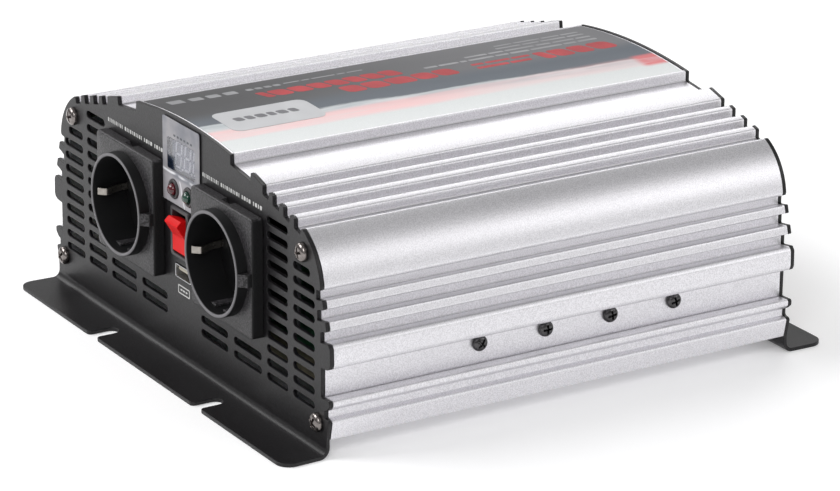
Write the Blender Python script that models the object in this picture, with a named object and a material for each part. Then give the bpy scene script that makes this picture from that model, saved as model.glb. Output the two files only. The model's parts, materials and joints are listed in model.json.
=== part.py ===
"""A mains power inverter, built up from its separate pieces.

X is the width, Y the depth (the socket side faces -Y) and +Z is up.  The origin is on the surface
that the two mounting flanges stand on, under the middle of the housing.  Every size and place below
is in millimetres; the meshes themselves are made in metres.
"""

import math

import bmesh
import bpy
import numpy as np
from mathutils import Matrix

MM = 0.001
FIT = 0.3  # play between pieces that touch
RIGHT, LEFT = 1, -1

# Housing
HALF_LENGTH = 110.25  # from the middle to a panel's outer face
SHEET = 1.6  # panel thickness
SHELL_HALF = HALF_LENGTH - SHEET - FIT
HEIGHT = 104.5
CROWN_RADIUS, CROWN_EDGE, CROWN_STEP = 285.0, 39.8, 97.6  # the label's crowned field on top
FIN_FOOT, FIN_SLOPE = (55.3, 95.7), 0.26  # the line that the fins stand on
FINS = ((55.5, 65.4), (69.9, 73.3), (77.9, 81.6), (86.1, 89.8))
FIN_HEIGHT, FIN_DRAFT = 3.6, 0.5
SHOULDER_STEP = (94.4, (94.9, 88.0))  # the step from the fins' line up to the shoulder
SHOULDER_CENTRE, SHOULDER_RADIUS = (84.6, 65.5), 25.4
SHOULDER_ANGLES = (63.3, 7.2)
# Ribs of the side, from the shoulder down to the plain band that the side screws go through
SIDE = (
    (109.3, 67.4), (106.7, 67.1), (106.7, 63.1), (111.2, 64.0), (112.1, 60.6), (107.4, 59.0),
    (107.4, 55.0), (113.4, 55.9), (114.4, 52.3), (109.8, 50.8), (109.8, 46.6), (115.6, 47.5),
    (116.9, 45.9), (117.1, 39.2), (116.3, 37.5), (114.4, 36.7), (110.3, 36.4),
)
# The tray's lip and foot, which carry the outline on below the band
FOOT = (
    (115.9, 24.3), (116.6, 23.6), (116.5, 21.8), (114.6, 20.0), (112.8, 19.4), (112.8, 16.4),
    (115.2, 16.0), (116.0, 15.2), (114.4, 7.5),
)
BAND_X, BAND_FOOT = 110.3, 24.0
WALL = 2.4
SHELL_FOOT, TRAY_LIP = 21.1, 20.8  # the cover's lower edge, and the groove's bottom under it
SHELL_INSIDE = ((49.0, 2.4), (53.5, 5.4), (70.0, 5.9))  # height, and how far in from the band
CROWN_INSIDE = ((41.8, 94.9), (37.2, 95.4), (36.6, 99.7), (20.0, 101.3), (0.0, 102.1))
TRAY_FLOOR = (7.5, 10.0)
TRAY_EDGE = 114.4
BOARD_GROOVE = ((105.2, 24.0), (105.2, 18.9), (106.9, 18.9), (106.9, 16.7), (103.0, 16.7))
PORT_RADIUS, PORT_HOLE = 5.5, 2.3

# Mounting flanges, bent out of the panels
FLANGE_REACH, FLANGE_HALF, FLANGE_CORNER = 19.5, 115.0, 6.0
BEND_RADIUS, BEND_STEPS = 3.0, 4
SLOT_X, SLOT_WIDTH, SLOT_DEPTH, SLOT_MOUTH = 45.0, 6.5, 12.0, 2.0

# Vents
VENT_PITCH, VENT_HEIGHT, VENT_FIRST = 5.9, 3.2, 18.9
VENT_OUTER, VENT_OUTER_SHORT = (89.0, 105.4), (89.0, 101.8)
VENT_INNER, VENT_LOW = (68.4, 84.8), ((41.6, 63.9), (14.5, 36.6))
VENT_ROWS, VENT_FULL_ROWS, VENT_LOW_ROWS = 12, 9, 2  # in all, at full width, under the sockets

# Screws
PANEL_SCREWS = ((96.7, 79.3), (107.9, 13.2))  # across, up
PAN_HEAD, PAN_HEIGHT, PAN_SHANK, PAN_LENGTH = 3.9, 2.5, 1.9, 12.0
SIDE_SCREW_FIRST, SIDE_SCREW_PITCH, SIDE_SCREW_Z = -38.6, 31.0, 32.6
SIDE_HEAD, SIDE_HEAD_HEIGHT, SIDE_SHANK, SIDE_LENGTH = 3.3, 2.2, 1.5, 13.0
SIDE_SCREW_Y = [SIDE_SCREW_FIRST + SIDE_SCREW_PITCH * i for i in range(4)]

# Front panel fittings
SOCKET_X, SOCKET_Z = 40.9, 58.3
SOCKET_PLATE, SOCKET_PLATE_PROUD = 25.0, 5.2  # half the square's side, and how far it stands out
SOCKET_RING, SOCKET_RECESS, SOCKET_PROUD = 21.7, 20.1, 10.1  # outer and inner radius, standing out
SOCKET_FLOOR, SOCKET_BACK, SOCKET_NECK = 5.5, 16.0, 21.8  # depths in the panel, radius behind it
SOCKET_RIB = 2.6  # half height of the rib each side of the ring
GUIDE_X, GUIDE_Z, GUIDE_DEPTH = (3.0, 8.0), (18.7, 19.9), 4.0  # ledges that turn the plug level
PIN_SPACING, PIN_HOLE, PIN_DEPTH = 9.5, 2.8, 8.0
STRAP_HALF, STRAP_SLOT = 1.5, (18.2, 19.7)  # half height of the earth strip, and its way in
OVERLAY = (15.5, 67.7, 103.2)  # half width, bottom, top
WINDOW = (12.0, 81.4, 95.4)
DISPLAY_BOARD, DIGIT_BLOCK = ((15.0, 11.5), 87.5), (11.3, 6.9)  # half sizes; the board's height
LED_X, LED_Z, LED_RADIUS, LED_COLLAR = 6.2, 74.0, 2.5, 4.3
SWITCH_Z, SWITCH_PIVOT = 56.7, 1.0  # pivot height, and its depth behind the panel's face
SWITCH_BEZEL, SWITCH_BODY, SWITCH_MOUTH = (7.5, 10.6), (6.6, 9.8), (5.6, 9.1)
SWITCH_BEZEL_PROUD, SWITCH_DEPTH, SWITCH_MOUTH_DEPTH = 2.0, 14.0, 10.5
ROCKER_HALF, ROCKER_TILT = 5.3, 16.0
ROCKER_TIP, ROCKER_VALLEY, TIP_ANGLES = 8.5, 6.2, (72, 43, 29)  # radii, and angles from straight out
PIVOT_PIN, PIVOT_HOLE, PIVOT_HALF = 1.3, 1.6, 6.0
USB_Z, USB_OUTER, USB_WALL = 39.3, (6.55, 2.85), 0.35

# Rear panel fittings
FAN_Z, FAN_HALF, FAN_DEPTH, FAN_BORE, FAN_HOLES = 58.0, 30.0, 15.0, 28.6, 25.0
FAN_BLADES, FAN_HUB, FAN_TIP = 7, 11.5, 27.6
GUARD_HALF, GUARD_RINGS = 31.0, ((6.0, 12.6), (14.2, 20.6), (22.2, 28.0))
FAN_SCREW_HOLE, GUARD_HOLE, GUARD_SPOKE, GUARD_SHEET = 2.1, 2.0, 1.0, 1.5
TERMINAL_X, TERMINAL_Z, STUD = 62.0, 46.0, 4.0
TERMINAL_NECK, TERMINAL_BASE, TERMINAL_COLLAR = 7.0, 12.0, 8.0  # radii
WASHER_RADIUS, NUT_RADIUS, NUT_FLUTES, FLUTE_DEPTH = 8.2, 9.3, 10, 0.7
EARTH, EARTH_HEAD, EARTH_SHANK = (76.0, 26.0), (5.2, 3.4), (2.4, 10.0)

# Inside
BOARD = (106.6, -82.0, 88.0, 17.0, 18.6)  # half width, front, back, underside, top
INSULATION = ((-101, 101), (-86, 92), (10.4, 10.9))
TRANSFORMER_X, TRANSFORMER_Y = 34.0, 26.0
CORE_HALF, CORE_DEPTH, CORE_WINDOW = (27.5, 21.5), 21.0, (5.0, 14.5, 13.5)  # window: half sizes, offset
WINDING_OUTER, WINDING_INNER, WINDING_MARGIN = (18.2, 20.0), (8.8, 10.8), 8.0
TRANSISTOR_HALF, TRANSISTOR_THICK, TRANSISTOR_Z = 5.1, 5.0, (25.0, 41.0)
TRANSISTOR_OFFSET, STRIP_THICK, BAR_THICK, BAR_HALF = 8.0, 0.6, 3.0, 5.0
CAPACITOR_RADIUS, CAPACITOR_HEIGHT, CAPACITOR_Y = 15.0, 45.0, -32.0
FUSE_HOLDER, FUSE_COUNT, FUSE_PITCH, FUSE_HEIGHT = (24.0, (60.0, 78.0), 9.0), 5, 9.5, 19.0
DC_LEAD_RADIUS, AC_LEAD_RADIUS = 3.2, 2.8


# ---------------------------------------------------------------- materials and mesh helpers

def material(name, colour, roughness, metallic=0.0):
    """A plain material; colour is linear red, green and blue."""
    made = bpy.data.materials.new(name)
    made.use_nodes = True
    shader = made.node_tree.nodes["Principled BSDF"]
    shader.inputs["Base Color"].default_value = (*colour, 1.0)
    shader.inputs["Roughness"].default_value = roughness
    shader.inputs["Metallic"].default_value = metallic
    return made


def finish(name, bm, finish_material, smooth_angle=35.0):
    """Turns a mesh in millimetres into a named object in metres."""
    bmesh.ops.recalc_face_normals(bm, faces=bm.faces)
    if bm.calc_volume(signed=True) < 0:
        bmesh.ops.reverse_faces(bm, faces=bm.faces)
    bmesh.ops.scale(bm, vec=(MM, MM, MM), verts=bm.verts)
    mesh = bpy.data.meshes.new(name)
    bm.to_mesh(mesh)
    bm.free()
    mesh.shade_smooth()
    mesh.set_sharp_from_angle(angle=math.radians(smooth_angle))
    mesh.materials.append(finish_material)
    made = bpy.data.objects.new(name, mesh)
    bpy.context.scene.collection.objects.link(made)
    return made


def helper(name, bm):
    """A shape that only cuts or joins another, and isn't a piece."""
    made = finish(name, bm, HELPER)
    made.hide_render = True
    made.display_type = "WIRE"
    return made


def boolean(target, other, operation):
    """Adds a live Boolean of the other object to the target."""
    modifier = target.modifiers.new(f"{operation.lower()} {other.name}", "BOOLEAN")
    modifier.operation = operation
    modifier.solver = "EXACT"
    modifier.object = other


def cut(target, bm):
    """Cuts the mesh bm out of the target."""
    boolean(target, helper(f"{target.name}.cut{len(target.modifiers)}", bm), "DIFFERENCE")


def join(target, bm):
    """Joins the mesh bm, which overlaps the target, to it."""
    boolean(target, helper(f"{target.name}.join{len(target.modifiers)}", bm), "UNION")


PLANES = {
    "X": lambda u, v, w: (w, u, v),
    "Y": lambda u, v, w: (u, w, v),
    "Z": lambda u, v, w: (u, v, w),
}


def extruded(loops, low, high, axis="Y", bm=None):
    """The flat shape inside loops[0], less the holes in the other loops, carried along an axis.

    A loop's points are (x, z) for Y, (y, z) for X and (x, y) for Z.
    """
    bm = bm or bmesh.new()
    place = PLANES[axis]
    rings = [[bm.verts.new(place(u, v, low)) for u, v in loop] for loop in loops]
    if len(rings) == 1:
        flat = [bm.faces.new(rings[0])]
    else:
        edges = [
            bm.edges.new((a, b)) for ring in rings for a, b in zip(ring, ring[1:] + ring[:1])
        ]
        filled = bmesh.ops.triangle_fill(bm, use_beauty=True, edges=edges)
        flat = [piece for piece in filled["geom"] if isinstance(piece, bmesh.types.BMFace)]
    swept = bmesh.ops.extrude_face_region(bm, geom=flat)
    moved = [piece for piece in swept["geom"] if isinstance(piece, bmesh.types.BMVert)]
    bmesh.ops.translate(bm, vec=place(0, 0, high - low), verts=moved)
    return bm


def block(x, y, z, bm=None):
    """A box from its three (low, high) spans."""
    return extruded([[(x[0], z[0]), (x[1], z[0]), (x[1], z[1]), (x[0], z[1])]], *y, bm=bm)


def arc(centre, radius, start, end, steps):
    """Points on an arc, angles in degrees from +u towards +v."""
    angles = np.radians(np.linspace(start, end, steps + 1))
    return [(centre[0] + radius * math.cos(a), centre[1] + radius * math.sin(a)) for a in angles]


def circle(centre, radius, steps=16):
    return arc(centre, radius, 0, 360, steps)[:-1]


def rounded(half_width, half_height, radius, centre=(0.0, 0.0), steps=3):
    """A rectangle with round corners."""
    points = []
    for turn, (sx, sz) in enumerate(((1, 1), (-1, 1), (-1, -1), (1, -1))):
        corner = (centre[0] + sx * (half_width - radius), centre[1] + sz * (half_height - radius))
        points += arc(corner, radius, 90 * turn, 90 * turn + 90, steps)
    return points


def slot(low, high, z, height=VENT_HEIGHT, steps=3):
    """A level slot with round ends."""
    r = height / 2
    return arc((high - r, z), r, -90, 90, steps) + arc((low + r, z), r, 90, 270, steps)


def sector(centre, inner, outer, start, end, steps):
    """A stretch of a ring, as a closed loop."""
    return arc(centre, outer, start, end, steps) + arc(centre, inner, end, start, steps)


def turned(profile, place, axis="Y", steps=16, closed=False, bm=None):
    """A profile of (radius, height) points turned about a line through place along the axis.

    An open profile starts and ends on that line; a closed one makes a ring.
    """
    bm = bm or bmesh.new()
    before = set(bm.verts)
    verts = [bm.verts.new((r, 0, h)) for r, h in profile]
    edges = [bm.edges.new(pair) for pair in zip(verts, verts[1:])]
    if closed:
        edges.append(bm.edges.new((verts[-1], verts[0])))
    bmesh.ops.spin(
        bm, geom=verts + edges, cent=(0, 0, 0), axis=(0, 0, 1), angle=2 * math.pi, steps=steps,
        use_merge=True,
    )
    new = [v for v in bm.verts if v not in before]
    bmesh.ops.remove_doubles(bm, verts=new, dist=1e-5)
    new = [v for v in bm.verts if v not in before]
    turn = {
        "X": Matrix.Rotation(math.pi / 2, 4, "Y"),
        "Y": Matrix.Rotation(-math.pi / 2, 4, "X"),
        "Z": Matrix.Identity(4),
    }[axis]
    bmesh.ops.transform(bm, matrix=Matrix.Translation(place) @ turn, verts=new)
    return bm


# ---------------------------------------------------------------- housing outline

def fin_foot(x):
    """Height of the line that the fins stand on."""
    return FIN_FOOT[1] - FIN_SLOPE * (x - FIN_FOOT[0])


def top_edge():
    """Right half of the outline, from the crown's middle over the fins and shoulder."""
    across = np.linspace(0, CROWN_EDGE, 8)
    points = [(x, HEIGHT - CROWN_RADIUS + math.sqrt(CROWN_RADIUS**2 - x**2)) for x in across]
    points += [(CROWN_EDGE, CROWN_STEP)]
    for left, right in FINS:
        points += [
            (left, fin_foot(left)),
            (left + FIN_DRAFT, fin_foot(left) + FIN_HEIGHT),
            (right, fin_foot(right) + FIN_HEIGHT),
            (right, fin_foot(right)),
        ]
    foot, top = SHOULDER_STEP
    points += [(foot, fin_foot(foot)), top]
    return points + arc(SHOULDER_CENTRE, SHOULDER_RADIUS, *SHOULDER_ANGLES, 9)


def both_sides(right_half):
    """Closes a right half, listed from the middle outwards, with its mirror image."""
    start = 1 if right_half[0][0] == 0 else 0
    return right_half + [(-x, z) for x, z in reversed(right_half[start:])]


def screw_ports(target, place):
    """Two full-length bosses with a hole each, that the panel screws cut their thread in."""
    bosses = bmesh.new()
    holes = bmesh.new()
    for side in (LEFT, RIGHT):
        centre = (side * place[0], place[1])
        extruded([circle(centre, PORT_RADIUS, 12)], -SHELL_HALF, SHELL_HALF, bm=bosses)
        extruded([circle(centre, PORT_HOLE, 10)], -SHELL_HALF - 5, SHELL_HALF + 5, bm=holes)
    join(target, bosses)
    cut(target, holes)


def make_upper_shell():
    """The extruded cover: crown, fins, shoulders and ribbed sides in one wall."""
    outside = top_edge() + list(SIDE) + [(BAND_X, SHELL_FOOT)]
    inside = [(BAND_X - WALL, SHELL_FOOT)] + [(BAND_X - inset, z) for z, inset in SHELL_INSIDE]
    inside += arc(SHOULDER_CENTRE, SHOULDER_RADIUS - WALL, 12, SHOULDER_ANGLES[0], 5)
    last_fin = FINS[-1][1] + 3.8
    inside += [(last_fin, fin_foot(last_fin) - WALL)] + list(CROWN_INSIDE)
    right = outside + inside[:-1]
    left_outside = [(-x, z) for x, z in reversed(outside[1:])]
    left_inside = [(-x, z) for x, z in inside[:-1]]
    loop = right + [inside[-1]] + left_inside[::-1] + left_outside
    shell = finish("upper_shell", extruded([loop], -SHELL_HALF, SHELL_HALF), SILVER)
    screw_ports(shell, PANEL_SCREWS[0])
    holes = bmesh.new()
    for y in SIDE_SCREW_Y:
        for side in (LEFT, RIGHT):
            ends = sorted((side * (BAND_X - WALL - 3), side * (BAND_X + 3)))
            extruded([circle((y, SIDE_SCREW_Z), SIDE_SHANK + FIT, 10)], *ends, axis="X", bm=holes)
    cut(shell, holes)


def make_lower_tray():
    """The extruded tray: floor, feet, the groove that takes the cover and the board's grooves."""
    outside = [(TRAY_EDGE, TRAY_FLOOR[0])] + list(FOOT[-2::-1]) + [(BAND_X + FIT, BAND_FOOT)]
    inner = BAND_X - WALL - FIT
    groove = [(BAND_X + FIT, TRAY_LIP), (inner, TRAY_LIP), (inner, BAND_FOOT)]
    right = outside + groove + list(BOARD_GROOVE) + [(BOARD_GROOVE[-1][0], TRAY_FLOOR[1])]
    loop = right + [(-x, z) for x, z in reversed(right)]
    tray = finish("lower_tray", extruded([loop], -SHELL_HALF, SHELL_HALF), SILVER)
    holes = bmesh.new()
    across, up = PANEL_SCREWS[1]
    for side in (LEFT, RIGHT):
        centre = (side * across, up)
        extruded([circle(centre, PORT_HOLE, 10)], -SHELL_HALF - 5, SHELL_HALF + 5, bm=holes)
    cut(tray, holes)


# ---------------------------------------------------------------- panels

def flange_edge(end):
    """Right half of a flange's free edge in the flat blank, with one open-ended slot."""
    r = SLOT_WIDTH / 2
    closed = end + SLOT_DEPTH - r
    corner = (FLANGE_HALF - FLANGE_CORNER, end + FLANGE_CORNER)
    mouth_right = (SLOT_X + r + SLOT_MOUTH, end + SLOT_MOUTH)
    mouth_left = (SLOT_X - r - SLOT_MOUTH, end + SLOT_MOUTH)
    points = arc(corner, FLANGE_CORNER, 0, -90, 4)
    points += arc(mouth_right, SLOT_MOUTH, 270, 180, 2)
    points += arc((SLOT_X, closed), r, 0, 180, 6)
    return points + arc(mouth_left, SLOT_MOUTH, 0, -90, 2)


def vents(columns_inner):
    """Slots of a panel's vents, both sides; columns_inner adds the columns next to the sockets."""
    loops = []
    for row in range(VENT_ROWS):
        z = VENT_FIRST + VENT_PITCH * row
        spans = []
        if row < VENT_FULL_ROWS:
            spans.append(VENT_OUTER)
        if row == VENT_FULL_ROWS:
            spans.append(VENT_OUTER_SHORT)
        if columns_inner:
            spans.append(VENT_INNER)
        if columns_inner and row < VENT_LOW_ROWS:
            spans += VENT_LOW
        for low, high in spans:
            loops += [slot(low, high, z), slot(-high, -low, z)]
    return loops


def bent_panel(name, holes, front):
    """A sheet cut flat and then bent: below the housing it turns outwards into a flange.

    The blank lies in (x, s), where s is height above the bend and length along the sheet in it.
    """
    bend_top = BEND_RADIUS + SHEET
    bend_length = (BEND_RADIUS + SHEET / 2) * math.pi / 2
    end = bend_top - bend_length - (FLANGE_REACH - BEND_RADIUS)
    right = top_edge() + list(SIDE) + [(BAND_X, BAND_FOOT)] + list(FOOT) + flange_edge(end)
    bm = extruded([both_sides(right)] + holes, 0, SHEET)
    for step in range(BEND_STEPS + 1):
        everything = list(bm.verts) + list(bm.edges) + list(bm.faces)
        level = bend_top - bend_length * step / BEND_STEPS
        bmesh.ops.bisect_plane(bm, geom=everything, plane_co=(0, 0, level), plane_no=(0, 0, 1))
    outwards = -1 if front else 1
    for vert in bm.verts:
        x, depth, s = vert.co
        below = max(bend_top - s, 0.0)
        angle = min(below / bend_length, 1.0) * math.pi / 2
        past = max(below - bend_length, 0.0)
        radius = BEND_RADIUS + depth
        y = HALF_LENGTH + BEND_RADIUS - radius * math.cos(angle) + past
        z = bend_top - radius * math.sin(angle) if below else s
        vert.co = (x, outwards * y, z)
    return finish(name, bm, PANEL_BLACK)


def panel_screw_holes():
    return [
        circle((side * x, z), PAN_SHANK + FIT, 10) for x, z in PANEL_SCREWS for side in (LEFT, RIGHT)
    ]


def make_front_panel():
    """The socket side's panel."""
    window_z = (WINDOW[1] + WINDOW[2]) / 2
    holes = vents(columns_inner=True) + panel_screw_holes()
    holes += [circle((side * SOCKET_X, SOCKET_Z), SOCKET_NECK + FIT, 32) for side in (LEFT, RIGHT)]
    holes += [circle((side * LED_X, LED_Z), LED_RADIUS + FIT, 12) for side in (LEFT, RIGHT)]
    holes += [rounded(WINDOW[0], window_z - WINDOW[1], 1.0, (0, window_z), 1)]
    holes += [rounded(SWITCH_BODY[0] + FIT, SWITCH_BODY[1] + FIT, 1.0, (0, SWITCH_Z), 1)]
    holes += [rounded(USB_OUTER[0] + FIT, USB_OUTER[1] + FIT, 0.8, (0, USB_Z), 1)]
    bent_panel("front_panel", holes, front=True)


def fan_screw_holes(radius):
    """A hole near each corner of the fan."""
    corners = [(sx * FAN_HOLES, FAN_Z + sz * FAN_HOLES) for sx in (LEFT, RIGHT) for sz in (LEFT, RIGHT)]
    return [circle(corner, radius, 8) for corner in corners]


def make_rear_panel():
    """The cable side's panel, with the fan opening between the two input terminals."""
    holes = vents(columns_inner=False) + panel_screw_holes()
    holes += [circle((0, FAN_Z), FAN_BORE - 1.0, 32)]
    for side in (LEFT, RIGHT):
        holes += [circle((side * TERMINAL_X, TERMINAL_Z), TERMINAL_NECK + FIT, 16)]
    holes += fan_screw_holes(FAN_SCREW_HOLE)
    holes += [circle(EARTH, EARTH_SHANK[0] + 0.4, 10)]
    bent_panel("rear_panel", holes, front=False)


# ---------------------------------------------------------------- screws

def pan_screw(name, place, axis, out, head, shank, metal):
    """A pan-headed screw: head is (radius, height), shank is (radius, length).

    place is the middle of the head's underside, and out is the way the head points.
    """
    r, h = head
    profile = [(0, h), (r * 0.62, h), (r * 0.93, h * 0.62), (r, h * 0.2), (r, 0), (shank[0], 0)]
    profile += [(shank[0], -shank[1] + 1.5), (0, -shank[1])]
    bm = turned([(radius, out * height) for radius, height in profile], place, axis, 12)
    return finish(name, bm, metal, 50.0)


def make_screws():
    """Eight screws hold the panels and eight hold the clamp bars."""
    for face, out in (("front", -1), ("rear", 1)):
        for level, (across, up) in zip(("top", "bottom"), PANEL_SCREWS):
            for side, hand in ((LEFT, "left"), (RIGHT, "right")):
                place = (side * across, out * (HALF_LENGTH + FIT), up)
                name = f"panel_screw_{face}_{level}_{hand}"
                head, shank = (PAN_HEAD, PAN_HEIGHT), (PAN_SHANK, PAN_LENGTH)
                pan_screw(name, place, "Y", out, head, shank, NICKEL)
    for side, hand in ((LEFT, "left"), (RIGHT, "right")):
        for i, y in enumerate(SIDE_SCREW_Y):
            place = (side * (BAND_X + FIT), y, SIDE_SCREW_Z)
            head, shank = (SIDE_HEAD, SIDE_HEAD_HEIGHT), (SIDE_SHANK, SIDE_LENGTH)
            pan_screw(f"side_screw_{hand}_{i + 1}", place, "X", side, head, shank, BLACK_NICKEL)


# ---------------------------------------------------------------- sockets

def socket_profile(face):
    """Half section of a socket's round body: the recess, the ring's lip and the neck behind."""
    front, floor, back = face - SOCKET_PROUD, face + SOCKET_FLOOR, face + SOCKET_BACK
    lip, step = 0.4, face - 3.0
    inside = [(0, floor), (SOCKET_RECESS - lip, floor), (SOCKET_RECESS, front + lip)]
    rim = [(SOCKET_RECESS + lip, front), (SOCKET_RING - lip, front), (SOCKET_RING, front + lip)]
    outside = [(SOCKET_RING, step), (SOCKET_NECK, step), (SOCKET_NECK, back), (0, back)]
    return inside + rim + outside


def make_socket(hand, x):
    """A recessed round mains socket on a square plate, turned so that its earth clips lie level."""
    face = -HALF_LENGTH
    floor, back, plate_front = face + SOCKET_FLOOR, face + SOCKET_BACK, face - SOCKET_PLATE_PROUD
    round_body = turned(socket_profile(face), (x, 0, SOCKET_Z), "Y", 40)
    body = finish(f"socket_{hand}", round_body, SOCKET_BLACK)
    plate = [rounded(SOCKET_PLATE, SOCKET_PLATE, 1.6, (x, SOCKET_Z), 2)]
    plate += [circle((x, SOCKET_Z), SOCKET_RECESS + 0.9, 40)]
    join(body, extruded(plate, plate_front, face - FIT))
    extras = bmesh.new()
    for side in (LEFT, RIGHT):
        across = sorted((x + side * (SOCKET_RING - 0.6), x + side * (SOCKET_PLATE - 0.2)))
        up = (SOCKET_Z - SOCKET_RIB, SOCKET_Z + SOCKET_RIB)
        block(across, (plate_front - 2.6, plate_front + 1), up, extras)
        up = sorted(SOCKET_Z + side * z for z in GUIDE_Z)
        for hand_side in (LEFT, RIGHT):
            across = sorted(x + hand_side * u for u in GUIDE_X)
            block(across, (face - SOCKET_PROUD + GUIDE_DEPTH, floor + 1.0), up, extras)
    join(body, extras)
    holes = bmesh.new()
    for side in (LEFT, RIGHT):
        pin = (x, SOCKET_Z + side * PIN_SPACING)
        extruded([circle(pin, PIN_HOLE, 12)], floor - 2.0, floor + PIN_DEPTH, bm=holes)
        across = sorted(x + side * u for u in STRAP_SLOT)
        up = (SOCKET_Z - STRAP_HALF - 0.4, SOCKET_Z + STRAP_HALF + 0.4)
        block(across, (floor - 2.0, back + 2.0), up, holes)
        edge = SOCKET_Z + side * SOCKET_PLATE
        notch = sorted((edge - side * 1.8, edge + side))
        block((x - 2.6, x + 2.6), (face - 3.2, face + 1.0), notch, holes)
    cut(body, holes)


def make_earth_strap(hand, x):
    """One bent strip: a spring contact each side of the recess, joined behind the socket."""
    face = -HALF_LENGTH
    back, thick = face + SOCKET_BACK + 0.5, 0.9
    inside = [(0, back), (18.6, back), (18.6, face + 1.5), (15.4, face - 5.2), (18.5, face - 8.2)]
    outside = [(19.3, face - 7.9), (16.3, face - 5.2), (19.4, face + 1.3), (19.4, back + thick)]
    half = inside + outside + [(0, back + thick)]
    loop = half + [(-u, v) for u, v in reversed(half[1:-1])]
    loop = [(x + u, v) for u, v in loop]
    bm = extruded([loop], SOCKET_Z - STRAP_HALF, SOCKET_Z + STRAP_HALF, axis="Z")
    finish(f"earth_strap_{hand}", bm, CONTACT_SILVER)


# ---------------------------------------------------------------- indicators, switch and USB

def make_indicators():
    """The overlay with its window, the display behind it and a lamp each side."""
    face = -HALF_LENGTH
    half, low, high = OVERLAY
    mid = (low + high) / 2
    loops = [rounded(half, mid - low, 1.0, (0, mid), 2)]
    loops += [circle((side * LED_X, LED_Z), LED_COLLAR, 20) for side in (LEFT, RIGHT)]
    finish("display_overlay", extruded(loops, face - FIT - 0.4, face - FIT), OVERLAY_GREY)
    inner = face + SHEET + FIT
    (across, up), board_z = DISPLAY_BOARD
    board = block((-across, across), (inner + 6, inner + 7.6), (board_z - up, board_z + up))
    module = finish("display_module", board, BOARD_GREEN)
    mid = (WINDOW[1] + WINDOW[2]) / 2
    across, up = DIGIT_BLOCK
    join(module, block((-across, across), (inner, inner + 6.5), (mid - up, mid + up)))
    for side, colour, glow in ((LEFT, "red", LED_RED), (RIGHT, "green", LED_GREEN)):
        dome = arc((0, 1.2), LED_RADIUS, 90, 0, 3)
        dome = [(max(r, 0.0), -h) for r, h in dome]
        dome[0] = (0.0, dome[0][1])
        flange = [(LED_RADIUS, 2.8), (LED_RADIUS + 0.45, 2.8), (LED_RADIUS + 0.45, 4.0), (0, 4.0)]
        bm = turned(dome + flange, (side * LED_X, face, LED_Z), "Y", 14)
        finish(f"led_{colour}", bm, glow)


def rocker_outline(pivot):
    """Side view of the rocker: a tip each end, a shallow valley between them and a narrow back."""
    end, start, flat = TIP_ANGLES
    upper = arc((0, 0), ROCKER_TIP, end, start, 4)
    lower = arc((0, 0), ROCKER_TIP, -start, -end, 4)
    across, up = (ROCKER_VALLEY * f(math.radians(flat)) for f in (math.cos, math.sin))
    back = [(-2.0, -5.0), (-5.0, -1.5), (-5.0, 1.5), (-2.0, 5.0)]
    tilt = math.radians(-ROCKER_TILT)
    loop = []
    for out, height in upper + [(across, up), (across, -up)] + lower + back:
        turned_out = out * math.cos(tilt) - height * math.sin(tilt)
        turned_up = out * math.sin(tilt) + height * math.cos(tilt)
        loop.append((pivot[0] - turned_out, pivot[1] + turned_up))
    return loop


def make_switch():
    """A snap-in rocker switch, shown with its lower half pressed."""
    face = -HALF_LENGTH
    bezel = [rounded(*SWITCH_BEZEL, 1.2, (0, SWITCH_Z), 2)]
    bezel = extruded(bezel, face - SWITCH_BEZEL_PROUD, face - FIT)
    housing = finish("switch_housing", bezel, SWITCH_BLACK)
    body = [rounded(*SWITCH_BODY, 0.8, (0, SWITCH_Z), 1)]
    join(housing, extruded(body, face - 1.0, face + SWITCH_DEPTH))
    mouth = [rounded(*SWITCH_MOUTH, 0.5, (0, SWITCH_Z), 1)]
    cut(housing, extruded(mouth, face - 3.0, face + SWITCH_MOUTH_DEPTH))
    pivot = (face + SWITCH_PIVOT, SWITCH_Z)
    across = PIVOT_HALF + FIT
    cut(housing, extruded([circle(pivot, PIVOT_HOLE, 12)], -across, across, axis="X"))
    loop = rocker_outline(pivot)
    rocker = extruded([loop], -ROCKER_HALF, ROCKER_HALF, axis="X")
    rocker = finish("rocker", rocker, ROCKER_RED, 25.0)
    join(rocker, extruded([circle(pivot, PIVOT_PIN, 12)], -PIVOT_HALF, PIVOT_HALF, axis="X"))


def make_usb():
    """A USB power outlet: a drawn steel shell round a moulded insulator with its contact tongue."""
    face = -HALF_LENGTH
    half, high = USB_OUTER
    loops = [rounded(half, high, 0.6, (0, USB_Z), 2)]
    loops += [rounded(half - USB_WALL, high - USB_WALL, 0.3, (0, USB_Z), 2)]
    finish("usb_shell", extruded(loops, face - 0.4, face + 13.0), NICKEL)
    across = half - USB_WALL - FIT
    up = high - USB_WALL - FIT
    body = block((-across, across), (face + 9.0, face + 12.8), (USB_Z - up, USB_Z + up))
    insulator = finish("usb_insulator", body, USB_WHITE)
    join(insulator, block((-5.5, 5.5), (face + 0.6, face + 9.5), (USB_Z + 0.1, USB_Z + 1.9)))


# ---------------------------------------------------------------- fan

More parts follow.
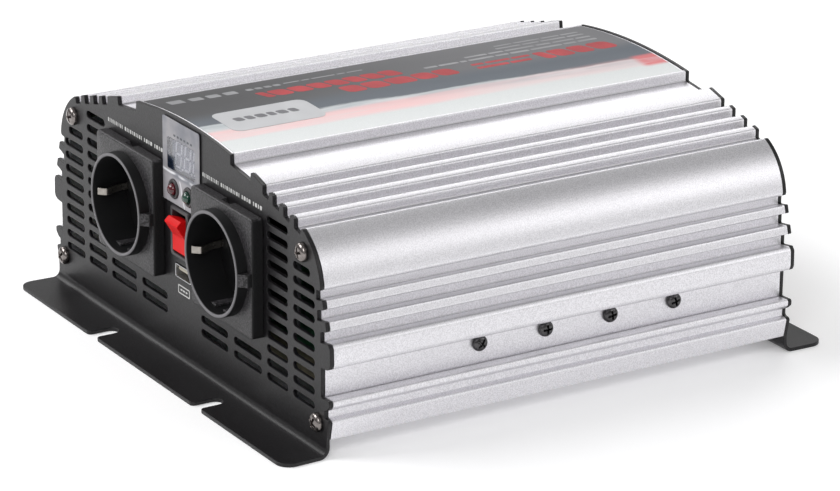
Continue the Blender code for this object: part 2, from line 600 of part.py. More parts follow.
def make_fan():
    """A square-framed fan behind the rear panel, and its finger guard outside it."""
    back = HALF_LENGTH - SHEET - FIT
    front = back - FAN_DEPTH
    centre = (0, FAN_Z)
    loops = [rounded(FAN_HALF, FAN_HALF, 3.0, centre, 2), circle(centre, FAN_BORE, 36)]
    loops += fan_screw_holes(FAN_SCREW_HOLE)
    frame = finish("fan_frame", extruded(loops, front, back), FAN_BLACK)
    join(frame, extruded([circle(centre, 12.5, 24)], front + 0.2, front + 2.2))
    for arm in range(3):
        across = math.radians(90 + 120 * arm)
        along = np.array((math.cos(across), math.sin(across)))
        beside = np.array((-along[1], along[0])) * 1.8
        inner, outer = along * (FAN_HUB - 0.5), along * (FAN_BORE + 0.6)
        corners = [inner + beside, outer + beside, outer - beside, inner - beside]
        strut = [(corner[0], FAN_Z + corner[1]) for corner in corners]
        join(frame, extruded([strut], front + 0.3, front + 2.1))
    hub = [(0, 0), (FAN_HUB, 0), (FAN_HUB, 10.2), (FAN_HUB - 1.0, 11.2), (0, 11.2)]
    rotor = finish("fan_rotor", turned(hub, (0, front + 2.8, FAN_Z), "Y", 28), FAN_BLACK)
    join(rotor, fan_blades(front + 3.2, front + 13.2))
    finish("fan_guard", fan_guard(centre), NICKEL)


def fan_blades(low, high):
    """Swept blades: each is a sheet that leans along the turn, less so towards its tip."""
    bm = bmesh.new()
    radii = np.linspace(FAN_HUB - 1.2, FAN_TIP, 4)
    for blade in range(FAN_BLADES):
        start = 2 * math.pi * blade / FAN_BLADES
        rings = []
        for radius in radii:
            sweep = 0.30 * (radius - FAN_HUB) / FAN_TIP
            lean = 6.0 / radius + 0.02
            thick = 0.6 / radius
            middle = start + sweep
            corners = (
                (low, middle - lean - thick), (low, middle - lean + thick),
                (high, middle + lean + thick), (high, middle + lean - thick),
            )
            rings.append([
                bm.verts.new((radius * math.cos(angle), y, FAN_Z + radius * math.sin(angle)))
                for y, angle in corners
            ])
        bm.faces.new(rings[0])
        bm.faces.new(rings[-1])
        for first, second in zip(rings, rings[1:]):
            for i in range(4):
                bm.faces.new((first[i], first[i - 1], second[i - 1], second[i]))
    return bm


def fan_guard(centre):
    """Rings joined by four spokes, on a frame with a hole at each corner."""
    outer = HALF_LENGTH + FIT
    loops = [rounded(GUARD_HALF, GUARD_HALF, 6.5, centre, 4)]
    loops += fan_screw_holes(GUARD_HOLE)
    for inner, outside in GUARD_RINGS:
        inset = math.degrees(GUARD_SPOKE / inner)
        for quarter in range(4):
            start = 45 + 90 * quarter + inset
            loops.append(sector(centre, inner, outside, start, start + 90 - 2 * inset, 4))
    return extruded(loops, outer, outer + GUARD_SHEET)


# ---------------------------------------------------------------- input terminals

def make_terminal(name, x, colour):
    """A panel stud for a battery cable: insulator, stud, washer and a fluted hand nut."""
    face = HALF_LENGTH
    place = (x, 0, TERMINAL_Z)
    bore = STUD + FIT
    neck, outer = TERMINAL_NECK, TERMINAL_BASE
    base = [(bore, face - 7), (neck, face - 7), (neck, face + FIT), (outer, face + FIT)]
    base += [(outer, face + 3.2), (outer - 0.8, face + 4.0), (bore, face + 4.0)]
    finish(f"terminal_base_{name}", turned(base, place, "Y", 18, closed=True), colour)
    collar = TERMINAL_COLLAR
    stud = [(0, face - 14), (STUD, face - 14), (STUD, face + 4.3), (collar, face + 4.3)]
    stud += [(collar, face + 6.0), (STUD, face + 6.0), (STUD, face + 18.2), (STUD - 0.8, face + 19.0)]
    stud += [(0, face + 19.0)]
    finish(f"terminal_stud_{name}", turned(stud, place, "Y", 16), BRASS)
    washer = [(bore, face + 6.3), (WASHER_RADIUS, face + 6.3)]
    washer += [(WASHER_RADIUS, face + 7.6), (bore, face + 7.6)]
    finish(f"terminal_washer_{name}", turned(washer, place, "Y", 20, closed=True), BRASS)
    grip = []
    for angle in np.linspace(0, 2 * math.pi, NUT_FLUTES * 4, endpoint=False):
        radius = NUT_RADIUS + FLUTE_DEPTH * math.cos(NUT_FLUTES * angle)
        grip.append((x + radius * math.cos(angle), TERMINAL_Z + radius * math.sin(angle)))
    loops = [grip, circle((x, TERMINAL_Z), bore, 16)]
    finish(f"terminal_nut_{name}", extruded(loops, face + 7.9, face + 14.4), colour)


def make_terminals():
    """Positive and negative studs, and the earth screw."""
    make_terminal("negative", -TERMINAL_X, TERMINAL_BLACK)
    make_terminal("positive", TERMINAL_X, TERMINAL_RED)
    place = (EARTH[0], HALF_LENGTH + FIT, EARTH[1])
    pan_screw("earth_screw", place, "Y", 1, EARTH_HEAD, EARTH_SHANK, BRASS)


# ---------------------------------------------------------------- inside

def make_board():
    """The main board in its grooves and the insulating sheet on the tray's floor."""
    half, front, back, low, high = BOARD
    finish("main_board", block((-half, half), (front, back), (low, high)), BOARD_GREEN)
    finish("insulation_sheet", block(*INSULATION), FISH_PAPER)


def make_transformer(hand, x):
    """A ferrite core with a wound bobbin on its middle leg."""
    foot = BOARD[4] + FIT
    half, high = CORE_HALF
    core = [rounded(half, high, 0.8, (x, foot + high), 1)]
    across, up, offset = CORE_WINDOW
    for side in (LEFT, RIGHT):
        core.append(rounded(across, up, 0.6, (x + side * offset, foot + high), 1)[::-1])
    ends = (TRANSFORMER_Y - CORE_DEPTH / 2, TRANSFORMER_Y + CORE_DEPTH / 2)
    finish(f"transformer_core_{hand}", extruded(core, *ends), FERRITE)
    winding = [rounded(*WINDING_OUTER, 4.0, (x, TRANSFORMER_Y), 3)]
    winding += [rounded(*WINDING_INNER, 0.6, (x, TRANSFORMER_Y), 1)]
    bm = extruded(winding, foot + WINDING_MARGIN, foot + 2 * high - WINDING_MARGIN, axis="Z")
    finish(f"transformer_winding_{hand}", bm, WINDING_YELLOW)


def make_transistor_row(hand, side):
    """Eight power transistors on an insulating strip, and the bar that clamps them to the wall."""
    wall = BAND_X - WALL - FIT
    front, back = SIDE_SCREW_Y[0] - 2 * TRANSISTOR_OFFSET, SIDE_SCREW_Y[-1] + 2 * TRANSISTOR_OFFSET
    strip, face = wall - STRIP_THICK, wall - TRANSISTOR_THICK
    comb = [(front, wall), (back, wall), (back, strip)]
    for y in reversed(SIDE_SCREW_Y):
        for centre in (y + TRANSISTOR_OFFSET, y - TRANSISTOR_OFFSET):
            near, far = centre - TRANSISTOR_HALF, centre + TRANSISTOR_HALF
            comb += [(far, strip), (far, face), (near, face), (near, strip)]
    comb += [(front, strip)]
    loop = [(side * x, y) for y, x in comb]
    row = extruded([loop], *TRANSISTOR_Z, axis="Z")
    row = finish(f"transistor_row_{hand}", row, CHIP_BLACK)
    screw_holes = [circle((y, SIDE_SCREW_Z), SIDE_SHANK + FIT, 10) for y in SIDE_SCREW_Y]
    holes = bmesh.new()
    ends = sorted((side * (wall - 9), side * (wall + 1)))
    for hole in screw_holes:
        extruded([hole], *ends, axis="X", bm=holes)
    cut(row, holes)
    across = sorted((side * (face - FIT), side * (face - FIT - BAR_THICK)))
    low, high = SIDE_SCREW_Z - BAR_HALF, SIDE_SCREW_Z + BAR_HALF
    bar = [(front, low), (back, low), (back, high), (front, high)]
    finish(f"clamp_bar_{hand}", extruded([bar] + screw_holes, *across, axis="X"), STEEL)


def make_components():
    """Storage capacitor and fuse block."""
    foot = BOARD[4] + FIT
    r, top = CAPACITOR_RADIUS, CAPACITOR_HEIGHT
    can = [(0, 0), (r - 1, 0), (r, 1.0), (r, top - 1), (r - 1, top), (0, top)]
    finish("capacitor", turned(can, (0, CAPACITOR_Y, foot), "Z", 24), CAPACITOR_BLUE)
    half, span, high = FUSE_HOLDER
    fuses = finish("fuse_block", block((-half, half), span, (foot, foot + high)), FUSE_GREEN)
    blades = bmesh.new()
    for i in range(FUSE_COUNT):
        x = FUSE_PITCH * (i - (FUSE_COUNT - 1) / 2)
        up = (foot + high - 1, foot + FUSE_HEIGHT)
        block((x - 2.0, x + 2.0), (span[0] + 1.0, span[1] - 1.0), up, blades)
    join(fuses, blades)


def smooth_route(points, step):
    """Points about a step apart on a smooth curve through the given ones.

    Each stretch is the cubic that has its ends' places and slopes.
    """
    points = np.array(points, float)
    spans = np.linalg.norm(np.diff(points, axis=0), axis=1)
    knots = np.concatenate([[0], np.cumsum(np.sqrt(spans))])
    slopes = np.gradient(points, knots, axis=0)
    places = []
    for i, width in enumerate(np.diff(knots)):
        for t in np.linspace(0, 1, max(int(spans[i] / step), 2), endpoint=False):
            start, end = 2 * t**3 - 3 * t**2 + 1, 3 * t**2 - 2 * t**3
            leaving, arriving = (t**3 - 2 * t**2 + t) * width, (t**3 - t**2) * width
            place = start * points[i] + end * points[i + 1]
            places.append(place + leaving * slopes[i] + arriving * slopes[i + 1])
    return places + [points[-1]]


def make_lead(name, points, radius, colour):
    """A lead held at both ends."""
    places = smooth_route(points, 4.0 * radius)
    curve = bpy.data.curves.new(name, "CURVE")
    curve.dimensions = "3D"
    curve.bevel_depth = radius * MM
    curve.bevel_resolution = 2
    curve.use_fill_caps = True
    spline = curve.splines.new("POLY")
    spline.points.add(len(places) - 1)
    for point, place in zip(spline.points, places):
        point.co = (*(place * MM), 1.0)
    curve.materials.append(colour)
    made = bpy.data.objects.new(name, curve)
    bpy.context.scene.collection.objects.link(made)


def make_leads():
    """Battery leads from the studs to the board, and a mains lead to each socket."""
    stud_end = HALF_LENGTH - 14.6
    board = BOARD[4] + 0.6
    for name, side, colour in (("negative", LEFT, LEAD_BLACK), ("positive", RIGHT, LEAD_RED)):
        x = side * TERMINAL_X
        route = [(x, stud_end, TERMINAL_Z), (x, 90, TERMINAL_Z - 0.6), (x - side * 1, 84, 40)]
        route += [(x - side * 3, 80, 31), (x - side * 3, 80, 24), (x - side * 3, 80, board)]
        make_lead(f"dc_lead_{name}", route, DC_LEAD_RADIUS, colour)
    back = -HALF_LENGTH + SOCKET_BACK + 2.0
    for hand, side in (("left", LEFT), ("right", RIGHT)):
        x = side * SOCKET_X
        route = [(x, back, 66), (x, back + 6, 65), (x - side * 4, back + 12, 57)]
        route += [(x - side * 8, back + 15, 44), (x - side * 9, back + 15, 30)]
        route += [(x - side * 9, back + 15, board)]
        make_lead(f"ac_lead_{hand}", route, AC_LEAD_RADIUS, LEAD_GREY)


# ---------------------------------------------------------------- the whole object

for old in list(bpy.data.objects):
    bpy.data.objects.remove(old, do_unlink=True)

HELPER = material("helper", (0.8, 0.5, 0.1), 0.5)
SILVER = material("satin_aluminium", (0.62, 0.61, 0.64), 0.36, 0.9)
PANEL_BLACK = material("panel_powder_coat", (0.055, 0.052, 0.056), 0.5)
NICKEL = material("nickel_plate", (0.72, 0.69, 0.64), 0.22, 1.0)
BLACK_NICKEL = material("black_nickel", (0.09, 0.09, 0.10), 0.28, 1.0)
SOCKET_BLACK = material("socket_plastic", (0.018, 0.018, 0.02), 0.45)
CONTACT_SILVER = material("contact_silver", (0.70, 0.68, 0.64), 0.3, 1.0)
BRASS = material("brass", (0.72, 0.56, 0.30), 0.25, 1.0)
OVERLAY_GREY = material("overlay_film", (0.42, 0.43, 0.48), 0.25)
BOARD_GREEN = material("circuit_board", (0.02, 0.12, 0.05), 0.4)
LED_RED = material("led_red", (0.25, 0.01, 0.02), 0.1)
LED_GREEN = material("led_green", (0.02, 0.14, 0.07), 0.1)
SWITCH_BLACK = material("switch_plastic", (0.03, 0.03, 0.035), 0.35)
ROCKER_RED = material("rocker_red", (0.75, 0.02, 0.02), 0.3)
USB_WHITE = material("usb_insulator", (0.75, 0.75, 0.72), 0.4)
FAN_BLACK = material("fan_plastic", (0.02, 0.02, 0.02), 0.4)
TERMINAL_BLACK = material("terminal_black", (0.02, 0.02, 0.022), 0.35)
TERMINAL_RED = material("terminal_red", (0.6, 0.02, 0.02), 0.35)
FISH_PAPER = material("insulation", (0.55, 0.5, 0.36), 0.7)
FERRITE = material("ferrite", (0.05, 0.05, 0.055), 0.55)
WINDING_YELLOW = material("winding_tape", (0.75, 0.55, 0.05), 0.35)
CHIP_BLACK = material("transistor_plastic", (0.02, 0.02, 0.02), 0.5)
STEEL = material("zinc_steel", (0.55, 0.55, 0.56), 0.35, 1.0)
CAPACITOR_BLUE = material("capacitor_sleeve", (0.02, 0.05, 0.2), 0.3)
FUSE_GREEN = material("fuse_plastic", (0.05, 0.35, 0.12), 0.3)
LEAD_RED = material("lead_red", (0.6, 0.02, 0.02), 0.4)
LEAD_BLACK = material("lead_black", (0.02, 0.02, 0.02), 0.4)
LEAD_GREY = material("lead_grey", (0.3, 0.3, 0.32), 0.4)

make_upper_shell()
make_lower_tray()
make_front_panel()
make_rear_panel()
make_screws()
for hand, side in (("left", LEFT), ("right", RIGHT)):
    make_socket(hand, side * SOCKET_X)
    make_earth_strap(hand, side * SOCKET_X)
    make_transformer(hand, side * TRANSFORMER_X)
    make_transistor_row(hand, side)
make_indicators()
make_switch()
make_usb()
make_fan()
make_terminals()
make_board()
make_components()
make_leads()
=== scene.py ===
# %% [markdown]
# # A power inverter, dressed on its frame
#
# The frame holds every solid of the inverter at its real size: an extruded aluminium cover over an
# extruded tray, a black sheet at each end, two mains sockets, a switch, a fan and two battery studs.
# This lesson gives each of them its finish, and its fine edges. We measure the frame first, so that
# every piece made here takes its place from it.

import json
import math

import bmesh
import bpy
import numpy as np
from mathutils import Matrix, Vector


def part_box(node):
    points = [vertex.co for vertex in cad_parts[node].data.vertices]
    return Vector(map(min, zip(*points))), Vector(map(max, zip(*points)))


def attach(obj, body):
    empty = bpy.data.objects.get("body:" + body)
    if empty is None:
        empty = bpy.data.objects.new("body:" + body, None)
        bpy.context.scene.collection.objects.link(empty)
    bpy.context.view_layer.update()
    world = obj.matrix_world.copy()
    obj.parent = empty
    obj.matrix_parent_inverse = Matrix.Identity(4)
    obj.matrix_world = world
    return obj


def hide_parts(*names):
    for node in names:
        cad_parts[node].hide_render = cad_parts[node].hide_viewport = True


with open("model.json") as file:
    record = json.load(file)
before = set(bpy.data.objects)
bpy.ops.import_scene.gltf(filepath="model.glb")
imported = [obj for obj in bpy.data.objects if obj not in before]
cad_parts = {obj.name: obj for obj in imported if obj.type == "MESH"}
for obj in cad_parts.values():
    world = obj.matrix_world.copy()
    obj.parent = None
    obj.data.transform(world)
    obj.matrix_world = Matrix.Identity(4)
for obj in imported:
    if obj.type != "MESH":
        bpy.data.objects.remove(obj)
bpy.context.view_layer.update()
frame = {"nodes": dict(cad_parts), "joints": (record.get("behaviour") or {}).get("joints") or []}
MM = 0.001


def span(node):
    """Lowest and highest corner of a CAD node, in millimetres."""
    low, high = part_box(node)
    return np.array(low) / MM, np.array(high) / MM


def mid(node):
    """Middle of a CAD node's box, in millimetres."""
    low, high = span(node)
    return (low + high) / 2


socket_x, socket_z = mid("socket_right")[[0, 2]]

# %% [markdown]
# ## Shapes as arrays
#
# A shape is a pair: an array of points in millimetres and a list of faces. Most of the inverter is
# either an outline carried along a line, like the extrusions, or a profile turned about a line,
# like the sockets and studs. Both are grids of quads, so one function numbers the corners of them
# all. We could press bmesh tools step by step instead, but an array says the whole surface at once.


# %% Grids
def quads(rows, columns, round_rows=False, round_columns=False):
    """Corner numbers of a grid's quads: each joins a point, the next in its row, and the two above."""
    r = np.arange(rows if round_rows else rows - 1)
    c = np.arange(columns if round_columns else columns - 1)
    r, c = np.meshgrid(r, c, indexing="ij")
    up, on = (r + 1) % rows, (c + 1) % columns
    corners = [r * columns + c, r * columns + on, up * columns + on, up * columns + c]
    return np.stack(corners, axis=-1).reshape(-1, 4).tolist()


def placed(u, v, w, axis):
    """Points at (u, v) in the plane across an axis and w along it."""
    u, v, w = np.broadcast_arrays(u, v, w)
    order = {"X": (w, u, v), "Y": (u, w, v), "Z": (u, v, w)}[axis]
    return np.stack(order, axis=-1).reshape(-1, 3)


def together(*shapes):
    """Several shapes as one: each one's face numbers are raised by the points before it."""
    starts = np.cumsum([0] + [len(points) for points, _ in shapes])
    faces = [[int(start) + i for i in face] for (_, many), start in zip(shapes, starts) for face in many]
    return np.concatenate([points for points, _ in shapes]), faces


def tidy(mesh_faces):
    """A shape's bmesh with its doubles merged and its faces turned outwards."""
    points, faces = mesh_faces
    bm = bmesh.new()
    mesh = bpy.data.meshes.new("scratch")
    mesh.from_pydata(points.tolist(), [], faces)
    bm.from_mesh(mesh)
    bpy.data.meshes.remove(mesh)
    bmesh.ops.remove_doubles(bm, verts=bm.verts, dist=1e-4)
    bmesh.ops.recalc_face_normals(bm, faces=bm.faces)
    if bm.calc_volume(signed=True) < 0:
        bmesh.ops.reverse_faces(bm, faces=bm.faces)
    return bm


print("a 3 by 4 closed band has", len(quads(3, 4, round_columns=True)), "quads")


# %% Pieces
made_pieces = {}


def piece(name, shape, finish, body="root", replaces=(), slot=None, smooth=35.0, edge=0.0, steps=2):
    """A named object from a shape. edge rounds every sharp edge by that radius in millimetres."""
    bm = tidy(shape)
    bmesh.ops.scale(bm, vec=(MM, MM, MM), verts=bm.verts)
    mesh = bpy.data.meshes.new(name)
    bm.to_mesh(mesh)
    bm.free()
    mesh.materials.append(finish)
    mesh.shade_smooth()
    made = bpy.data.objects.new(name, mesh)
    bpy.context.scene.collection.objects.link(made)
    if edge:
        bevel = made.modifiers.new("edges", "BEVEL")
        bevel.width, bevel.segments = edge * MM, steps
        bevel.limit_method, bevel.angle_limit = "ANGLE", math.radians(smooth)
        bevel.use_clamp_overlap = False
        bevel.miter_outer = "MITER_ARC"
        flat = made.modifiers.new("flats stay flat", "WEIGHTED_NORMAL")
        flat.weight = 80
    else:
        mesh.set_sharp_from_angle(angle=math.radians(smooth))
    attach(made, body)
    if replaces:
        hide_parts(*([replaces] if isinstance(replaces, str) else replaces))
    made_pieces[name] = made
    return made


# %% Outlines
def arc(centre, radius, start, end, steps):
    """Points at a fixed distance from a centre, with the angle in degrees running evenly."""
    angle = np.radians(np.linspace(start, end, steps + 1))
    return np.stack([centre[0] + radius * np.cos(angle), centre[1] + radius * np.sin(angle)], axis=1)


def circle(centre, radius, steps=48):
    """A full circle's points, the first not repeated at the end."""
    return arc(centre, radius, 0, 360, steps)[:-1]


def rounded(half_width, half_height, radius, centre=(0, 0), steps=8):
    """A rectangle whose corners are quarter circles."""
    quarters = []
    for turn, (sx, sz) in enumerate(((1, 1), (-1, 1), (-1, -1), (1, -1))):
        corner = (centre[0] + sx * (half_width - radius), centre[1] + sz * (half_height - radius))
        quarters.append(arc(corner, radius, 90 * turn, 90 * turn + 90, steps))
    return np.concatenate(quarters)


def slot(low, high, z, height, steps=12):
    """A level slot: two half circles joined by straight lines."""
    r = height / 2
    return np.concatenate([arc((high - r, z), r, -90, 90, steps), arc((low + r, z), r, 90, 270, steps)])


def softened(points, radius, steps=4, keep_below=14.0):
    """Rounds an outline's corners: each sharp one becomes the parabola between two points beside it.

    Those points lie radius away along its edges, or four tenths of a shorter edge.
    """
    points = np.asarray(points, float)
    before, after = np.roll(points, 1, 0) - points, np.roll(points, -1, 0) - points
    back, ahead = np.linalg.norm(before, axis=1), np.linalg.norm(after, axis=1)
    cosine = -(before * after).sum(1) / (back * ahead)
    sharp = np.degrees(np.arccos(np.clip(cosine, -1, 1))) > keep_below
    reach = np.where(sharp, np.minimum(radius, 0.4 * np.minimum(back, ahead)), 0.0)
    first = points + before * (reach / back)[:, None]
    last = points + after * (reach / ahead)[:, None]
    t = np.linspace(0, 1, steps + 1)[None, :, None]
    curve = (1 - t) ** 2 * first[:, None] + 2 * t * (1 - t) * points[:, None] + t**2 * last[:, None]
    curve = curve.reshape(-1, 2)
    return curve[np.linalg.norm(curve - np.roll(curve, 1, 0), axis=1) > 1e-4]


def mirrored(right_half):
    """Closes the right half of an outline, listed from the middle outwards, with its mirror image."""
    right = np.asarray(right_half, float)
    left = right[::-1] * (-1, 1)
    return np.concatenate([right, left[np.abs(left[:, 0]) > 1e-6]])


print("a softened square has", len(softened([(0, 0), (9, 0), (9, 9), (0, 9)], 1.0)), "points")


# %% Carried, turned and sheet shapes
def carried(outline, low, high, axis="Y"):
    """A closed outline carried from low to high along an axis, with a flat face at each end."""
    outline = np.asarray(outline, float)
    n = len(outline)
    points = placed(outline[None, :, 0], outline[None, :, 1], np.array([[low], [high]]), axis)
    return points, quads(2, n, round_columns=True) + [list(range(n)), list(range(n, 2 * n))]


def turned(profile, centre, axis="Y", steps=64, closed=False):
    """A profile of (radius, height) turned about a line: cosine and sine of the turn times the radius.

    centre is (u, v) across the axis, and heights are places along it. A closed profile makes a ring.
    """
    radius, height = np.asarray(profile, float).T[:, :, None]
    turn = np.linspace(0, 2 * np.pi, steps, endpoint=False)[None]
    points = placed(centre[0] + radius * np.cos(turn), centre[1] + radius * np.sin(turn), height, axis)
    return points, quads(len(profile), steps, closed, True)


def sheet(loops, low, high, axis="Y"):
    """The area inside the first loop and outside the others, with a thickness from low to high."""
    bm = bmesh.new()
    rings = [[bm.verts.new((u, v, 0)) for u, v in loop] for loop in loops]
    edges = [bm.edges.new(pair) for ring in rings for pair in zip(ring, ring[1:] + ring[:1])]
    bmesh.ops.triangle_fill(bm, use_beauty=True, edges=edges)
    bm.verts.index_update()
    flat = np.array([vert.co[:2] for vert in bm.verts])
    n = len(flat)
    tops = [[vert.index for vert in face.verts] for face in bm.faces]
    bm.free()
    points = np.concatenate([placed(flat[:, 0], flat[:, 1], w, axis) for w in (low, high)])
    walls, start = [], 0
    for loop in loops:
        ring = np.arange(start, start + len(loop))
        on = np.roll(ring, -1)
        walls += np.stack([ring, on, on + n, ring + n], axis=1).tolist()
        start += len(loop)
    return points, tops + [[i + n for i in face[::-1]] for face in tops] + walls


def soft_block(half, centre, low, high, corner, edge, axis="Y", steps=4):
    """A block with round corners whose front edge, at high, is a quarter circle too.

    Row by row the outline shrinks by edge times (1 - cosine) as it rises by edge times the sine.
    """
    turn = np.linspace(0, np.pi / 2, steps + 1)
    way = 1.0 if high > low else -1.0
    shrink = np.concatenate([[0.0], edge * (1 - np.cos(turn))])
    level = np.concatenate([[low], high - way * edge * (1 - np.sin(turn))])
    rows = [rounded(half[0] - s, half[1] - s, max(corner - s, 0.05), centre, 5) for s in shrink]
    outline = np.stack(rows)
    n = outline.shape[1]
    points = placed(outline[:, :, 0], outline[:, :, 1], level[:, None], axis)
    top = (len(level) - 1) * n
    return points, quads(len(level), n, round_columns=True) + [list(range(n)), list(range(top, top + n))]


def box_block(x, y, z):
    """A plain block from its three spans, for pieces whose edges are rounded afterwards."""
    return carried([(x[0], z[0]), (x[1], z[0]), (x[1], z[1]), (x[0], z[1])], *y)


print("shapes: carried, turned, sheet and soft_block")

# %% [markdown]
# ## Shader sums as Python sums
#
# A finish is a node tree, and a node tree is arithmetic. Wrapping an output in a small class lets us
# write `1 - mask * 0.5` and get the Math nodes that say so, which reads far better than a page of
# links. Every pattern below uses Object coordinates: they are metres in the inverter's own frame, so
# a grain of 0.2 mm keeps its size on each piece and never slides.


# %% Finishes
class Value:
    """One number output of a finish's nodes."""

    def __init__(self, finish, socket):
        self.finish, self.socket = finish, socket

    def _with(self, operation, *values):
        inputs = dict(enumerate(values))
        return self.finish.node("Math", {"operation": operation}, inputs).value("Value")

    def __add__(self, other):
        return self._with("ADD", self, other)

    def __radd__(self, other):
        return self._with("ADD", other, self)

    def __sub__(self, other):
        return self._with("SUBTRACT", self, other)

    def __rsub__(self, other):
        return self._with("SUBTRACT", other, self)

    def __mul__(self, other):
        return self._with("MULTIPLY", self, other)

    def __rmul__(self, other):
        return self._with("MULTIPLY", other, self)

    def __abs__(self):
        return self._with("ABSOLUTE", self)

    def both(self, other):
        """The lower of two masks: 1 only where both are."""
        return self._with("MINIMUM", self, other)

    def ramp(self, start, end):
        """0 at start and before, 1 at end and after, with a smooth turn at both."""
        settings = {"interpolation_type": "SMOOTHSTEP"}
        inputs = {"Value": self, "From Min": start, "From Max": end}
        return self.finish.node("MapRange", settings, inputs).value("Result")


class Node:
    """A node that was just made, asked for its outputs by name."""

    def __init__(self, finish, node):
        self.finish, self.node = finish, node

    def value(self, output):
        return Value(self.finish, self.node.outputs[output])


class Finish:
    """A material under construction: a Principled shader whose constants are set on its own sockets."""

    def __init__(self, name, colour, roughness, metallic=0.0, **constants):
        self.material = bpy.data.materials.new(name)
        self.material.use_nodes = True
        self.tree = self.material.node_tree
        self.shader = self.tree.nodes["Principled BSDF"]
        self.feed(**{"Base Color": (*colour, 1.0), "Roughness": roughness, "Metallic": metallic})
        self.feed(**{key.replace("_", " "): value for key, value in constants.items()})
        self.place = self.node("TexCoord").value("Object")

    def node(self, kind, settings=None, inputs=None):
        """Any node: its type, then its settings, a ramp's stops among them, then its inputs."""
        made = self.tree.nodes.new("ShaderNode" + kind)
        for key, value in (settings or {}).items():
            if key == "stops":
                for stop, (position, colour) in zip(made.color_ramp.elements, value):
                    stop.position, stop.color = position, (*colour, 1.0)
            else:
                setattr(made, key, value)
        for key, value in (inputs or {}).items():
            self.connect(value, made.inputs[key])
        return Node(self, made)

    def connect(self, value, socket):
        """Links a computed value to an input, or sets a constant on the input itself."""
        if isinstance(value, Value):
            self.tree.links.new(value.socket, socket)
        else:
            socket.default_value = value

    def feed(self, **inputs):
        """Connects the shader's own inputs by name."""
        for key, value in inputs.items():
            self.connect(value, self.shader.inputs[key])
        return self

    def axes(self):
        """The x, y and z of a point, in millimetres."""
        apart = self.node("SeparateXYZ", inputs={"Vector": self.place})
        return [apart.value(axis) * (1 / MM) for axis in "XYZ"]

    def mark(self, name):
        """A number stored at a piece's points under a name, 0 where there is none."""
        return self.node("Attribute", {"attribute_name": name}).value("Fac")

    def stretched(self, x, y, z):
        """Object coordinates scaled on each axis: a small number draws a pattern out along it."""
        inputs = {"Vector": self.place, "Scale": (x, y, z)}
        return self.node("Mapping", {"vector_type": "POINT"}, inputs).value("Vector")

    def noise(self, size, detail=2.0, where=None, rough=0.5):
        """Smooth noise from 0 to 1 whose blobs are about size millimetres across."""
        inputs = {"Vector": where or self.place, "Scale": 1.0 / (size * MM), "Detail": detail}
        inputs["Roughness"] = rough
        return self.node("TexNoise", inputs=inputs).value("Fac")

    def cells(self, size):
        """Distance to the nearest of scattered points that lie about size millimetres apart."""
        inputs = {"Vector": self.place, "Scale": 1.0 / (size * MM)}
        return self.node("TexVoronoi", {"feature": "F1"}, inputs).value("Distance")

    def mix(self, mask, below, above):
        """below where the mask is 0 and above where it is 1, as colours."""
        sides = [side if isinstance(side, Value) else (*side, 1.0) for side in (below, above)]
        inputs = {0: mask, 6: sides[0], 7: sides[1]}
        made = self.node("Mix", {"data_type": "RGBA"}, inputs)
        return Value(self, made.node.outputs[2])

    def bump(self, height, depth, strength=1.0):
        """Tilts the surface by a height map whose full range stands for depth millimetres."""
        inputs = {"Height": height, "Distance": depth * MM, "Strength": strength}
        return self.feed(Normal=self.node("Bump", inputs=inputs).value("Normal"))


print("a finish starts from a Principled shader")

# %% [markdown]
# ## The metals
#
# The cover is extruded aluminium with a satin anodised skin. Under a lamp it shows two things: a
# fine sparkle, because the skin was etched matt, and faint lines along its length, left by the die.
# Both are noise. The sparkle is the same size on every axis; the die lines are noise drawn out along
# Y. The inward corners between its ribs get a little painted shade, by a number stored at their
# points, called painted_light_crease. Plated screws are smoother and only need a slight cloudiness.


# %% Aluminium and platings
def aluminium():
    """Grain lightens the tone, a wide cloud shifts it, and painted shade darkens the stored inward corners.
    """
    made = Finish("satin_aluminium", (0.80, 0.79, 0.82), 0.40, 1.0)
    grain = made.noise(0.42, 1.0)
    die_lines = made.noise(1.0, 4.0, made.stretched(1.6, 0.012, 1.6))
    cloud = made.noise(60.0, 2.0)
    painted_light_crease = made.mark("painted_light_crease")
    made.feed(Roughness=0.38 + grain * 0.10 + cloud * 0.04)
    tone = made.mix(cloud, (0.64, 0.63, 0.655), (0.70, 0.69, 0.715))
    bright = made.mix(grain.ramp(0.30, 0.70), tone, (0.88, 0.87, 0.90))
    # Painted shade: the stored inward corners are mixed up to 35 percent towards near black.
    made.feed(**{"Base Color": made.mix(painted_light_crease * 0.35, bright, (0.06, 0.055, 0.06))})
    return made.bump(grain * 0.6 + die_lines * 0.4, 0.045).material


def plated(name, colour, roughness, grain=0.5):
    """A bright metal whose roughness and tone follow a small cloud; grain scales its bumps."""
    made = Finish(name, colour, roughness, 1.0)
    cloud = made.noise(1.5, 3.0)
    made.feed(Roughness=roughness + (cloud - 0.5) * 0.2)
    wear_and_sheen = tuple(min(1.0, part * 1.25 + 0.03) for part in colour)
    made.feed(**{"Base Color": made.mix(cloud.ramp(0.35, 0.8), colour, wear_and_sheen)})
    return made.bump(made.noise(0.25, 2.0), 0.01 * grain).material


ALUMINIUM = aluminium()
NICKEL = plated("nickel_plate", (0.20, 0.18, 0.172), 0.22)
BLACK_NICKEL = plated("black_nickel", (0.070, 0.068, 0.070), 0.26)
BRASS = plated("brass", (0.78, 0.62, 0.36), 0.28)
CONTACT_SILVER = plated("contact_silver", (0.30, 0.28, 0.255), 0.30)
STEEL = plated("zinc_steel", (0.60, 0.60, 0.62), 0.34, 1.0)
print("metals:", ALUMINIUM.name, NICKEL.name, BLACK_NICKEL.name, BRASS.name, STEEL.name)

# %% [markdown]
# ## Paint and plastics
#
# The two end sheets are powder coated: the powder melts into a skin with a soft pebble called orange
# peel, so the lamp's reflection is broad and slightly rough. Moulded plastics copy their tool, which
# leaves a fine dull grain on the switch and a smoother one on the rocker. One function makes the plain
# mouldings and inks, with grain size and depth as numbers. The sockets get two finishes of their own
# further on.


